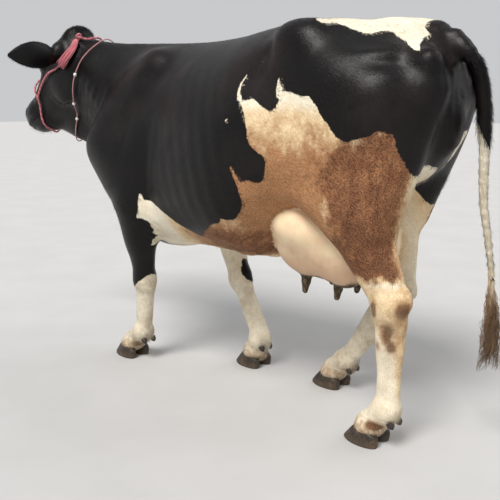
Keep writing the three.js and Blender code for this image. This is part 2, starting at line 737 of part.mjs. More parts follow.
// A round tube along points, with a radius for each place along it from 0 to 1.
function tube(points, radius, sides, steps) {
  const curve = curveThrough(points);
  const frames = curve.computeFrenetFrames(steps);
  const rings = [];
  for (let i = 0; i <= steps; i += 1) {
    const centre = curve.getPointAt(i / steps);
    const ring = [];
    for (let k = 0; k < sides; k += 1) {
      const a = (k / sides) * 2 * Math.PI;
      ring.push(centre.clone()
        .addScaledVector(frames.normals[i], Math.cos(a) * radius(i / steps))
        .addScaledVector(frames.binormals[i], Math.sin(a) * radius(i / steps)).toArray());
    }
    rings.push(ring);
  }
  return loft(rings);
}

// Moves a point straight out of or into a field until it stands at a height over its surface.
function standOver(field, point, height) {
  let p = point;
  for (let pass = 0; pass < 6; pass += 1) {
    const g = slopeAt(field, p);
    const g2 = Math.max(g[0] ** 2 + g[1] ** 2 + g[2] ** 2, 0.05);
    p = add(p, scale(g, (height - field.distance(...p)) / g2));
  }
  return p;
}

// A rope or flat band laid on a field along points. half(t) gives its half width and half depth.
function laid(field, points, half, lift, sides, steps, endless = false) {
  const curve = curveThrough(points, endless);
  const count = endless ? steps : steps + 1;
  const centres = [];
  for (let i = 0; i < count; i += 1) {
    centres.push(standOver(field, curve.getPointAt(i / steps).toArray(), lift + half(i / steps)[1]));
  }
  const rings = centres.map((centre, i) => {
    const before = centres[endless ? (i + count - 1) % count : Math.max(i - 1, 0)];
    const after = centres[endless ? (i + 1) % count : Math.min(i + 1, count - 1)];
    const ahead = new THREE.Vector3(...add(after, scale(before, -1))).normalize();
    const out = new THREE.Vector3(...slopeAt(field, centre)).normalize();
    const across = new THREE.Vector3().crossVectors(ahead, out).normalize();
    out.crossVectors(across, ahead);
    const [halfWidth, halfDepth] = half(i / steps);
    return Array.from({ length: sides }, (_, k) => {
      const a = (k / sides) * 2 * Math.PI;
      return add(centre, add(
        scale(across.toArray(), Math.cos(a) * halfWidth),
        scale(out.toArray(), Math.sin(a) * halfDepth),
      ));
    });
  });
  return { geometry: loft(rings, endless), centres };
}

function ball(centre, radii, detail) {
  const geometry = new THREE.IcosahedronGeometry(1, detail);
  geometry.scale(...radii);
  return geometry.translate(...centre);
}

// ---------------------------------------------------------------- assembly
const FINISH = {
  coat: { color: 0x2a2424, roughness: 0.8 },
  udder: { color: 0xe6c9a4, roughness: 0.6 },
  teat: { color: 0x6d6152, roughness: 0.6 },
  horn: { color: 0x4a4038, roughness: 0.5 },
  eye: { color: 0x120d0b, roughness: 0.1 },
  rope: { color: 0xd86a86, roughness: 0.8 },
  bead: { color: 0xf2efe9, roughness: 0.35 },
};

const cow = new THREE.Group();
cow.name = "cow";

function place(name, solid, finish) {
  const geometry = fromSolid(solid);
  geometry.computeVertexNormals();
  const mesh = new THREE.Mesh(geometry, new THREE.MeshStandardMaterial({ ...FINISH[finish], metalness: 0 }));
  mesh.name = name;
  cow.add(mesh);
}

const bySize = (solid) => solid.decompose().sort((a, b) => b.volume() - a.volume());
const largest = (solid) => bySize(solid)[0];
const without = (solid, cutters) => cutters.reduce((left, cutter) => left.subtract(cutter), solid);

const body = fleshField();
const importance = ([, y, z]) => (y < -1080 && z > 980 ? 8 : z < 260 ? 3 : z < 620 ? 2 : 1);
const fleshMesh = thin(skin(body, [-420, -1640, 0], [470, 960, 1560], GRID), FLESH_TRIANGLES, importance);
const fleshSkin = toGeometry(fleshMesh);
const fleshGrown = swollen(fleshSkin);
let flesh = toSolid(fleshSkin);

// Claws, and the sloping coronets that they hang from.
const claws = [];
for (const [leg, { side, hoof }] of Object.entries(LEGS)) {
  for (const [where, outer] of [["outer", 1], ["inner", -1]]) {
    claws.push({ name: `claw_${leg}_${where}`, geometry: claw(hoof, side, outer) });
    flesh = flesh.subtract(toSolid(claw(hoof, side, outer, CUT)));
  }
  const fall = Math.atan2(CLAW.toeHeight - CLAW.heelHeight, CLAW.length);
  const under = new THREE.BoxGeometry(180, 220, 160);
  under.translate(0, 0, -82).rotateX(-fall);
  under.translate(hoof[0], hoof[1], FLOOR + (CLAW.toeHeight + CLAW.heelHeight) / 2);
  flesh = flesh.subtract(toSolid(under));
}

// Eyes in their sockets.
const eyes = [1, -1].map((side) => onHead(EYE.u, EYE.v, side * EYE.w));
for (const centre of eyes) {
  flesh = flesh.subtract(toSolid(ball(centre, Array(3).fill(EYE.radius + CUT), 2)));
}

// Saw cuts between head, neck, trunk and legs: [centre, normal, width, height].
const CUTS = [
  [[50, -1075, 1240], [0, 1, 0.16], 700, 760],
  [[0, -790, 1090], [0, 1, -0.22], 900, 1000],
  [[160, -560, 532], [0, 0, 1], 250, 320],
  [[-160, -370, 532], [0, 0, 1], 250, 420],
  [[215, 560, 783], [0, -0.26, 1], 390, 760],
  [[-215, 560, 783], [0, -0.26, 1], 390, 760],
];
flesh = without(flesh, CUTS.map((cut) => plate(...cut)));

const REGIONS = {
  trunk: [0, -100, 1000],
  neck: [30, -950, 1200],
  head: [60, -1300, 1250],
  fore_leg_left: LEGS.fore_left.knee,
  fore_leg_right: LEGS.fore_right.knee,
  hind_leg_left: LEGS.hind_left.hock,
  hind_leg_right: LEGS.hind_right.hock,
};
const pieces = bySize(flesh).slice(0, Object.keys(REGIONS).length);
for (const [name, seed] of Object.entries(REGIONS)) {
  const probe = toSolid(ball(seed, [6, 6, 6], 0));
  place(name, pieces.find((piece) => piece.intersect(probe).volume() > 1), "coat");
}

// Udder and teats, let in under the belly.
const udderSkin = toGeometry(thin(skin(udderField(), [-270, 60, 420], [270, 640, 900], GRID), UDDER_TRIANGLES));
place("udder", largest(toSolid(udderSkin).subtract(fleshGrown)), "udder");
const udderGrown = swollen(udderSkin);
for (const [where, [x, y]] of Object.entries(TEATS)) {
  const top = standOver(udderField(), [x, y, 545], 0);
  const lean = Math.sign(x) * 5;
  const teat = tube(
    [add(top, [0, 0, 14]), add(top, [lean, 0, -TEAT.length * 0.5]), add(top, [lean * 1.6, -3, -TEAT.length])],
    (t) => TEAT.root + (TEAT.tip - TEAT.root) * Math.min(1, t * 2.2) ** 0.6 - (t > 0.96 ? 3 : 0), 8, 4,
  );
  place(`teat_${where}`, largest(without(toSolid(teat), [udderGrown, fleshGrown])), "teat");
}

for (const { name, geometry } of claws) place(name, toSolid(geometry), "horn");
for (const [leg, { fetlock }] of Object.entries(LEGS)) {
  for (const [where, outer] of [["outer", 1], ["inner", -1]]) {
    const x = fetlock[0] + LEGS[leg].side * outer * DEWCLAW.apart;
    const from = [x, fetlock[1] + DEWCLAW.behind - DEWCLAW.length * 0.7, DEWCLAW.height + FLOOR + 6];
    const to = [x, fetlock[1] + DEWCLAW.behind, DEWCLAW.height + FLOOR - DEWCLAW.length * 0.7];
    const cone = tube([from, mix(from, to, 0.5), to], (t) => DEWCLAW.radius * (1 - 0.45 * t * t), 7, 3);
    place(`dewclaw_${leg}_${where}`, largest(toSolid(cone).subtract(fleshGrown)), "horn");
  }
}
for (const [i, centre] of eyes.entries()) {
  place(i === 0 ? "eye_left" : "eye_right", toSolid(ball(centre, Array(3).fill(EYE.radius), 2)), "eye");
}

// Rope headstall with its nose loop, knot and tassel, and the beaded cord round the neck.
const ropeHalf = () => [ROPE.radius, ROPE.radius];
const mirrored = (path) => path.map(([u, v, w]) => [u, v, -w]);
const noseLoop = laid(body, [
  ...NOSE_LOOP.map((p) => onHead(...p)), onHead(...CHIN),
  ...mirrored(NOSE_LOOP.slice(1)).reverse().map((p) => onHead(...p)),
], ropeHalf, ROPE.lift, 5, 40, true).geometry;
const headstall = laid(body, [
  ...CHEEK_ROPE.map((p) => onHead(...p)), ...NAPE_ROPE,
  ...mirrored(CHEEK_ROPE).reverse().map((p) => onHead(...p)),
], ropeHalf, ROPE.lift, 5, 52).geometry;
const noseLoopGrown = swollen(noseLoop, 2 * CUT);
const headstallGrown = swollen(headstall, 2 * CUT);
place("nose_loop", largest(toSolid(noseLoop).subtract(fleshGrown)), "rope");
place("headstall", largest(without(toSolid(headstall), [fleshGrown, noseLoopGrown])), "rope");
const knotCentre = standOver(body, KNOT.at, KNOT.radii[2] * 0.8);
const knot = ball(knotCentre, KNOT.radii, 1);
place("halter_knot", largest(without(toSolid(knot), [fleshGrown, headstallGrown])), "rope");
const tassel = laid(body, TASSEL.path, (t) => [14 + (TASSEL.width - 14) * t, TASSEL.depth], 13, 8, 8).geometry;
place("halter_tassel", largest(without(toSolid(tassel), [swollen(knot), headstallGrown, swollen(ear(1))])), "rope");

const cordHalf = () => [NECK_CORD.radius, NECK_CORD.radius];
const cord = laid(body, NECK_CORD.path, cordHalf, NECK_CORD.lift, 5, 64, true);
const cordGrown = swollen(cord.geometry, 2 * CUT);
place("neck_cord", largest(toSolid(cord.geometry).subtract(fleshGrown)), "rope");
for (const [i, share] of BEAD.at.entries()) {
  const centre = cord.centres[Math.round(share * cord.centres.length)];
  const bead = toSolid(ball(centre, Array(3).fill(BEAD.radius), 1));
  place(`neck_bead_${i + 1}`, largest(without(bead, [cordGrown, fleshGrown])), "bead");
}

for (const [name, side] of [["ear_left", 1], ["ear_right", -1]]) {
  place(name, largest(without(toSolid(ear(side)), [fleshGrown, headstallGrown])), "coat");
}

// Tail, in three lengths and a switch.
const tailRadius = (t) => TAIL_RADIUS.root + (TAIL_RADIUS.tip - TAIL_RADIUS.root) * Math.min(1, t * 1.1) ** 0.6;
let tail = largest(toSolid(tube(TAIL, tailRadius, 9, 18)).subtract(fleshGrown));
tail = without(tail, [[0, 890, 1090], [-20, 892, 850]].map((at) => plate(at, [0, 0, 1], 120, 120)));
const lengths = tail.decompose().sort((a, b) => b.boundingBox().max[2] - a.boundingBox().max[2]);
["tail_upper", "tail_middle", "tail_lower"].forEach((name, i) => place(name, lengths[i], "coat"));
const switchRadius = stationCurve(SWITCH_RADIUS);
place("tail_switch", toSolid(tube(SWITCH, (t) => switchRadius(t)[1], 9, 8)), "coat");

// Stand the animal on the ground, centred over it.
const bounds = new THREE.Box3().setFromObject(cow);
const middle = bounds.getCenter(new THREE.Vector3());
for (const mesh of cow.children) mesh.geometry.translate(-middle.x, -middle.y, -bounds.min.z);

export default cow;
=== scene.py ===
"""A walking dairy cow at life size: one skin, its coat, eyes, claws, rope headstall and beaded neck cord.

Lengths in the shape classes are drawing millimetres, +Z up, nose along -Y, the animal's left side at +X.
Meshes are set down in the frame's metres by DRAWING.
"""

import json
import logging
import math
from dataclasses import dataclass, field
from enum import Enum

import bmesh
import bpy
import numpy as np
from mathutils import Vector
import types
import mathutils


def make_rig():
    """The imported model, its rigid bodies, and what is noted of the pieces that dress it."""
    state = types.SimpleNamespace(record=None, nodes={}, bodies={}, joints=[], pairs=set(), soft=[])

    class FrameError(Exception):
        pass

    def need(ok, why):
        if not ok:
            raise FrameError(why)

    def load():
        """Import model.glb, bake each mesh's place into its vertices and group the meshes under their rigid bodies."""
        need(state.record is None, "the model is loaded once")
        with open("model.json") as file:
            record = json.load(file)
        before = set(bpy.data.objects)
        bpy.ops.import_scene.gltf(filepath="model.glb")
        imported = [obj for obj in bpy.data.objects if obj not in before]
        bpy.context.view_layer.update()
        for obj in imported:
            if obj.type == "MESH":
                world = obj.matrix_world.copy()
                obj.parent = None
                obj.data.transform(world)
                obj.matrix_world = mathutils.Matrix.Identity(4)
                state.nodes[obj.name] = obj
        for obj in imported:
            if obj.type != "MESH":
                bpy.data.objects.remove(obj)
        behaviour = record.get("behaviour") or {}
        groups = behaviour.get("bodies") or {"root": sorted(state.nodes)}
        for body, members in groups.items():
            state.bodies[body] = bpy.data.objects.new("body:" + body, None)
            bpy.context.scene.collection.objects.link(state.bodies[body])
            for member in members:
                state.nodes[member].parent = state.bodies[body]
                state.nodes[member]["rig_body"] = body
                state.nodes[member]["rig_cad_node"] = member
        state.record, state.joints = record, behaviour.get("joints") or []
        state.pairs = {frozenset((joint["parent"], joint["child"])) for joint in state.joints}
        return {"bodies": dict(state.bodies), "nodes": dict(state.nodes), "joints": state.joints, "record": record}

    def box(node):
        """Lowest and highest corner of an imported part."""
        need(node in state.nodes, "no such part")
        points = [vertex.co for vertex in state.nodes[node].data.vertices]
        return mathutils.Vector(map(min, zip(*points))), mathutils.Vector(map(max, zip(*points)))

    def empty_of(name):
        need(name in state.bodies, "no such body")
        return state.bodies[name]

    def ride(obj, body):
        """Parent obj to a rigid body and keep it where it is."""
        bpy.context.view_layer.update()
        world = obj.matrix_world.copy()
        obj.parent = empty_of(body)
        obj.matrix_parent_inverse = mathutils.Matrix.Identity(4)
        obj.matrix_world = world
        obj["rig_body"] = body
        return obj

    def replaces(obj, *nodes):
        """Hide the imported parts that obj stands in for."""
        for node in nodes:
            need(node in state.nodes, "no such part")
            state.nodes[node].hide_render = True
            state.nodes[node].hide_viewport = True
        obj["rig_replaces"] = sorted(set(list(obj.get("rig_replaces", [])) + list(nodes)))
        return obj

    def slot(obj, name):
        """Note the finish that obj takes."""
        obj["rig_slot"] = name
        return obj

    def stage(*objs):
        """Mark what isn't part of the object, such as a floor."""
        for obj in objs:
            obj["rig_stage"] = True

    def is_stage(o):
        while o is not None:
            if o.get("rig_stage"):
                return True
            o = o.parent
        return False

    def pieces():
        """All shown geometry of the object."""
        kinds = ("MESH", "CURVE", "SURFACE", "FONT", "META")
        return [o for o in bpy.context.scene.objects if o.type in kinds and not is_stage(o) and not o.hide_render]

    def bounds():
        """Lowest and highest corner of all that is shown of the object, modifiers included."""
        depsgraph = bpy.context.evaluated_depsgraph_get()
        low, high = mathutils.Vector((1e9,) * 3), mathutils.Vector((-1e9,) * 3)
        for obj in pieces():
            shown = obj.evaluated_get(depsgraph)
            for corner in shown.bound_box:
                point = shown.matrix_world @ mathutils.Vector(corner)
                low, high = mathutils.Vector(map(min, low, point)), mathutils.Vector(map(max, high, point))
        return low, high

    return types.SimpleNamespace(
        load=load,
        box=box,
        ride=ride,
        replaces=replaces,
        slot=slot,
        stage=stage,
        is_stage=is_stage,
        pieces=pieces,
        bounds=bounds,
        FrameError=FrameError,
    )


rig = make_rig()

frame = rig.load()
CAD_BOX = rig.bounds()

log = logging.getLogger("cow")
Array = np.ndarray
FLOOR = 22.0


# ---------------------------------------------------------------- small maths
def ease(a: float, b: float, x: Array) -> Array:
    """Runs smoothly from 0 where x is a to 1 where x is b; a may be the greater."""
    t = np.clip((x - a) / (b - a), 0.0, 1.0)
    return t * t * (3.0 - 2.0 * t)


def unit(v: Array) -> Array:
    """Vectors of length one along the last axis."""
    return v / np.maximum(np.linalg.norm(v, axis=-1, keepdims=True), 1e-9)


def blend_min(a: Array, b: Array, width: float) -> Array:
    """The smaller of two distances, rounded over a width where they meet."""
    h = np.maximum(width - np.abs(a - b), 0.0) / width
    return np.minimum(a, b) - h * h * width / 4.0


def bell(p: Array, centre: tuple, radii: tuple) -> Array:
    """A soft bump of height one at a centre, e-folding at its radii."""
    q = (p - np.array(centre)) / np.array(radii)
    return np.exp(-(q * q).sum(axis=1))


def hump(away: Array, width: float) -> Array:
    """Height of a soft bump at a distance from its middle, e-folding at its width."""
    return np.exp(-((away / width) ** 2))


def polyline_distance(p: Array, line: Array) -> tuple[Array, Array]:
    """Distance from points to a polyline.

    Args:
        p: Points, N by 2 or 3.
        line: The polyline's corners in the same number of dimensions.

    Returns:
        The distances, and the share of the way along the line's corners where each point is nearest.
    """
    best = np.full(len(p), 1e9)
    share = np.zeros(len(p))
    count = len(line) - 1
    for i in range(count):
        a, d = line[i], line[i + 1] - line[i]
        t = np.clip(((p - a) @ d) / max(float(d @ d), 1e-9), 0.0, 1.0)
        dist = np.linalg.norm(p - a - t[:, None] * d, axis=1)
        near = dist < best
        best[near] = dist[near]
        share[near] = (i + t[near]) / count
    return best, share


def station_curve(rows: Array, at: Array) -> Array:
    """A smooth curve through station rows, whose columns run along the first one.

    Args:
        rows: One row per station, rising in the first column.
        at: Where to read the curve.

    Returns:
        One interpolated row for each reading.
    """
    n = np.arange(len(rows))
    low, high = rows[np.maximum(n - 1, 0)], rows[np.minimum(n + 1, len(rows) - 1)]
    slope = (high - low) / (high[:, :1] - low[:, :1])
    s = np.clip(at, rows[0, 0], rows[-1, 0])
    i = np.clip(np.searchsorted(rows[:, 0], s) - 1, 0, len(rows) - 2)
    span = (rows[i + 1, 0] - rows[i, 0])[:, None]
    q = (s - rows[i, 0])[:, None] / span
    tangents = (q * (1 - q) ** 2 * slope[i] - q * q * (1 - q) * slope[i + 1]) * span
    return rows[i] + (rows[i + 1] - rows[i]) * (q * q * (3 - 2 * q)) + tangents


def smooth_path(points: Array, count: int, endless: bool = False) -> Array:
    """Evenly spaced points on a centripetal curve through points.

    Args:
        points: The curve's corners.
        count: How many points to return.
        endless: Whether the curve runs round on itself; its last point is then left out.

    Returns:
        The points on the curve, count by 3.
    """
    p = np.asarray(points, dtype=float)
    n = len(p)
    if endless:
        padded = np.vstack([p[-1:], p, p[:2]])
    else:
        padded = np.vstack([2 * p[0] - p[1], p, 2 * p[-1] - p[-2]])
    fine = []
    for i in range(n if endless else n - 1):
        a, b, c, d = padded[i : i + 4]
        t0, t1, t2 = (max(np.linalg.norm(y - x), 1e-4) ** 0.5 for x, y in ((a, b), (b, c), (c, d)))
        m1 = ((b - a) / t0 - (c - a) / (t0 + t1) + (c - b) / t1) * t1
        m2 = ((c - b) / t1 - (d - b) / (t1 + t2) + (d - c) / t2) * t1
        t = np.linspace(0, 1, 40, endpoint=False)[:, None]
        fine.append(b + m1 * t + (3 * (c - b) - 2 * m1 - m2) * t**2 + (2 * (b - c) + m1 + m2) * t**3)
    fine.append(p[:1] if endless else p[-1:])
    line = np.vstack(fine)
    length = np.concatenate([[0], np.cumsum(np.linalg.norm(np.diff(line, axis=0), axis=1))])
    at = np.linspace(0, length[-1], count + 1 if endless else count)[:count]
    return np.stack([np.interp(at, length, line[:, c]) for c in range(3)], axis=1)


def wave(p: Array, seed: int, size: float, octaves: int = 3) -> Array:
    """A smooth random field made of crossing waves, the same on each run.

    Args:
        p: Points, N by 3.
        seed: Chooses the field.
        size: Length of its longest waves, in the points' unit.
        octaves: How many times the waves are added at half the size.

    Returns:
        One value per point, about -1 to 1.
    """
    rng = np.random.default_rng(seed)
    out = np.zeros(len(p))
    for octave in range(octaves):
        k = unit(rng.normal(size=(5, 3))) * (math.tau / size) * 2**octave * rng.uniform(0.7, 1.3, (5, 1))
        phase = rng.uniform(0, math.tau, 5)
        out += np.sin(p @ k.T + phase).sum(axis=1) / (2.6 * 2**octave)
    return out


# ---------------------------------------------------------------- masses of the field
@dataclass(frozen=True)
class Lump:
    """An ellipsoid of flesh, leaning by some degrees in the side view."""

    centre: Array
    radii: tuple
    lean: float = 0.0
    blend: float = 30.0

    @property
    def reach(self) -> float:
        """Farthest that the mass reaches from its centre."""
        return max(self.radii)

    def distance(self, p: Array) -> Array:
        """Signed distance of points from the surface, below zero inside.

        Args:
            p: Points in the mass's own frame, N by 3, in millimetres.

        Returns:
            A distance for each point, in millimetres.
        """
        c, s = math.cos(math.radians(self.lean)), math.sin(math.radians(self.lean))
        x, y, z = (p - self.centre).T
        local = np.stack([x, y * c + z * s, z * c - y * s], axis=1) / np.array(self.radii)
        near = np.linalg.norm(local, axis=1)
        steep = np.maximum(np.linalg.norm(local / np.array(self.radii), axis=1), 1e-9)
        return near * (near - 1) / steep


@dataclass(frozen=True)
class Limb:
    """A tapered, round-ended mass from start to end; flat is its thickness across X over its depth."""

    start: Array
    end: Array
    radius_start: float
    radius_end: float
    flat: float = 1.0
    blend: float = 30.0

    @property
    def centre(self) -> Array:
        """Middle of the limb."""
        return (np.asarray(self.start, float) + self.end) / 2

    @property
    def reach(self) -> float:
        """Farthest that the mass reaches from its middle."""
        length = float(np.linalg.norm(np.asarray(self.end, float) - self.start))
        return length / 2 + max(self.radius_start, self.radius_end)

    def distance(self, p: Array) -> Array:
        """Signed distance of points from the surface, below zero inside.

        Args:
            p: Points in the mass's own frame, N by 3, in millimetres.

        Returns:
            A distance for each point, in millimetres.
        """
        a = np.asarray(self.start, float)
        d = np.asarray(self.end, float) - a
        t = np.clip(((p - a) @ d) / float(d @ d), 0.0, 1.0)
        off = p - a - t[:, None] * d
        off[:, 0] /= self.flat
        return np.linalg.norm(off, axis=1) - (self.radius_start + (self.radius_end - self.radius_start) * t)


@dataclass(frozen=True)
class Hull:
    """A long body whose sections are squared ovals, given by station rows along one axis.

    Rows: [along, high, low, half width, height of the widest point, squareness above, below, carriage].
    """

    rows: Array
    along: int
    across: int
    up: int
    blend: float = 1.0

    def distance(self, p: Array) -> Array:
        """Signed distance of points from the surface, below zero inside.

        Args:
            p: Points in the mass's own frame, N by 3, in millimetres.

        Returns:
            A distance for each point, in millimetres.
        """
        run = p[:, self.along]
        _, high, low, half, wide, above, below, carriage = station_curve(self.rows, run).T
        x = p[:, self.across] - carriage
        z = p[:, self.up] - wide
        upper = (high - wide) * z > 0
        rise = np.where(upper, high - wide, wide - low)
        power = np.where(upper, above, below)
        rho = ((np.abs(x) / half) ** power + (np.abs(z) / np.abs(rise)) ** power) ** (1 / power)
        radial = np.where(rho < 1e-6, -half, (1 - 1 / np.maximum(rho, 1e-6)) * np.hypot(x, z))
        beyond = np.maximum(self.rows[0, 0] - run, run - self.rows[-1, 0])
        return np.where(beyond > 0, np.hypot(np.maximum(radial, 0), beyond), radial)


class Field:
    """Masses blended together, with soft swellings and hollows pressed into their surface."""

    def __init__(self, *masses: object) -> None:
        """Starts the field with some masses."""
        self.masses = list(masses)
        self.swells: list[tuple[tuple, tuple, float]] = []

    def add(self, *masses: object) -> None:
        """Blends more masses in, in order."""
        self.masses += masses

    def swell(self, centre: tuple, radii: tuple, height: float) -> None:
        """Presses a bump (above zero) or a hollow (below zero) into the surface."""
        self.swells.append((centre, radii, height))

    def distance(self, p: Array) -> Array:
        """Signed distance of points from the surface, below zero inside.

        Args:
            p: Points in the field's own frame, N by 3, in millimetres.

        Returns:
            A distance for each point, in millimetres.
        """
        d = np.full(len(p), 1e6)
        for mass in self.masses:
            if isinstance(mass, Hull):
                d = blend_min(d, mass.distance(p), mass.blend)
                continue
            off = np.linalg.norm(p - mass.centre, axis=1) - mass.reach
            use = np.flatnonzero(off - mass.blend < d)
            if use.size:
                d[use] = blend_min(d[use], mass.distance(p[use]), mass.blend)
        for centre, radii, height in self.swells:
            d -= height * bell(p, centre, radii)
        return d

    def slope(self, p: Array, step: float = 1.0) -> Array:
        """Outward slope of the field at points.

        Args:
            p: Points in the field's own frame.
            step: How far to each side it is sampled.

        Returns:
            A vector for each point, about one long.
        """
        out = np.empty_like(p)
        for axis in range(3):
            e = np.zeros(3)
            e[axis] = step
            out[:, axis] = (self.distance(p + e) - self.distance(p - e)) / (2 * step)
        return out

    def stand_over(self, p: Array, height: Array | float, passes: int = 6) -> Array:
        """Moves points straight in or out until they stand at a height over the surface.

        Args:
            p: The points.
            height: One height for all, or one each.
            passes: How many times they are moved.

        Returns:
            The moved points.
        """
        for _ in range(passes):
            g = self.slope(p)
            g2 = np.maximum((g * g).sum(axis=1), 0.05)
            p = p + g * ((height - self.distance(p)) / g2)[:, None]
        return p


# ---------------------------------------------------------------- the animal's measurements
@dataclass(frozen=True)
class HeadFrame:
    """The head's own axes: u from the poll down the face, v towards the throat, w to the animal's left."""

    poll: tuple = (55.0, -1145.0, 1500.0)
    pitch: float = 40.0
    roll: float = 3.0

    @property
    def axes(self) -> Array:
        """The three axes as rows, in the drawing frame.

        Returns:
            Three unit vectors.
        """
        c, s = math.cos(math.radians(self.pitch)), math.sin(math.radians(self.pitch))
        cr, sr = math.cos(math.radians(self.roll)), math.sin(math.radians(self.roll))
        basis = np.array([[0, -c, -s], [0, s, -c], [1, 0, 0]], dtype=float)
        x, y, z = basis.T
        return np.stack([cr * x - sr * z, y, sr * x + cr * z], axis=1)

    def to_body(self, q: Array) -> Array:
        """Head coordinates as drawing coordinates."""
        return np.asarray(q, float) @ self.axes + np.array(self.poll)

    def to_head(self, p: Array) -> Array:
        """Drawing coordinates as head coordinates."""
        return (p - np.array(self.poll)) @ self.axes.T

    def spot(self, u: float, v: float, w: float) -> Array:
        """One point of the head in the drawing frame."""
        return self.to_body(np.array([[u, v, w]], dtype=float))[0]

    def share(self, p: Array, q: Array) -> Array:
        """How much points belong to the head, 0 to 1, from drawing and head coordinates."""
        return ease(-60, 10, q[:, 0]) * ease(-1060, -1110, p[:, 1])

    def holds(self, p: Array, q: Array) -> Array:
        """Which points belong to the head, from drawing and head coordinates."""
        return (q[:, 0] > -60) & (p[:, 1] < -1075)


HEAD = HeadFrame()


@dataclass(frozen=True)
class Eye:
    """Where an eye sits on the head, the size of its ball, and the opening of its lids."""

    u: float = 190.0
    v: float = 58.0
    w: float = 105.0
    radius: float = 21.0
    half_length: float = 19.0
    upper: float = 11.0
    lower: float = 9.0
    look: tuple = (0.30, -0.16, 0.94)

    def centre(self, side: int) -> Array:
        """Centre of the ball in the drawing frame."""
        return HEAD.spot(self.u, self.v, side * self.w)


EYE = Eye()


@dataclass(frozen=True)
class Leg:
    """The joint centres of one leg in its phase of the walk."""

    name: str
    side: int
    fetlock: tuple
    hoof: tuple
    elbow: tuple | None = None
    knee: tuple | None = None
    stifle: tuple | None = None
    hock: tuple | None = None
    hock_point: tuple | None = None

    @property
    def coronet(self) -> Array:
        """Centre of the ring where the claws meet the hair."""
        return np.array([self.hoof[0], self.hoof[1] + 20, FLOOR + 72])

    @property
    def joint(self) -> tuple:
        """The knee of a fore leg or the hock of a hind leg."""
        return self.knee or self.hock

    def toe(self, outer: int) -> str:
        """Name of one toe, whose outer is 1 or -1."""
        return f"{self.name}_{'outer' if outer > 0 else 'inner'}"


LEGS = (
    Leg("fore_left", 1, (134, -614, 152), (130, -712, FLOOR),
        elbow=(216, -530, 745), knee=(163, -558, 404)),
    Leg("fore_right", -1, (-142, -154, 152), (-152, -206, FLOOR),
        elbow=(-205, -440, 750), knee=(-138, -264, 402)),
    Leg("hind_left", 1, (152, 674, 160), (146, 592, FLOOR),
        stifle=(222, 415, 885), hock=(182, 690, 526), hock_point=(178, 737, 556)),
    Leg("hind_right", -1, (-174, 283, 150), (-190, 196, FLOOR),
        stifle=(-218, 365, 885), hock=(-150, 490, 455), hock_point=(-152, 568, 492)),
)


@dataclass(frozen=True)
class TailLine:
    """Course and thickness of the tail, and of the hair switch below it."""

    course: tuple = (
        (0, 776, 1374), (0, 826, 1328), (-2, 860, 1262), (-6, 880, 1180), (-10, 889, 1080), (-15, 890, 980),
        (-20, 894, 870), (-30, 908, 770), (-40, 924, 660), (-46, 930, 570),
    )
    root_radius: float = 33.0
    tip_radius: float = 12.0
    switch: tuple = ((-46, 930, 566), (-50, 936, 490), (-53, 939, 390), (-52, 937, 300))

    def radius(self, t: Array) -> Array:
        """Radius at a share of the way down the tail."""
        return self.root_radius + (self.tip_radius - self.root_radius) * np.minimum(1, t * 1.1) ** 0.6


TAIL = TailLine()


@dataclass(frozen=True)
class EarLeaf:
    """One ear: a cupped leaf whose back faces the tail. Rows: share of length, half breadth, cup depth."""

    length: float = 250.0
    thickness: float = 7.0
    spread: float = 72.0
    lowered: float = 24.0
    rows: tuple = (
        (0, 30, 30), (0.14, 42, 34), (0.3, 56, 32), (0.5, 63, 26), (0.7, 55, 19), (0.88, 33, 10), (1, 8, 3),
    )

    def root(self, side: int) -> Array:
        """Where the leaf leaves the head."""
        return HEAD.spot(66.0, 82.0, side * 104.0)

    def point(self, side: int, t: Array, turn: Array, inset: Array) -> Array:
        """Points of the leaf.

        Args:
            side: 1 for the left ear, -1 for the right.
            t: Shares of the length from root to tip.
            turn: Places across the leaf, -1 at the lower edge to 1 at the upper one.
            inset: Depths under the back surface.

        Returns:
            The points in the drawing frame.
        """
        _, breadth, cup = station_curve(np.array(self.rows, float), t).T
        a = turn * math.radians(self.spread)
        lift = (np.cos(a) - math.cos(math.radians(self.spread))) * 1.1
        x = side * self.length * t * 0.985
        y = self.length * (0.1 * np.sin(t * math.pi) - 0.04 * t) + (cup - inset) * lift
        z = self.length * (0.05 * t - 0.06 * t * t) - self.lowered + (breadth - inset * 0.4) * np.sin(a)
        return np.stack([x, y, z], axis=1) + self.root(side)


EAR = EarLeaf()
TEATS = ((76, 272), (-76, 272), (58, 404), (-58, 404))


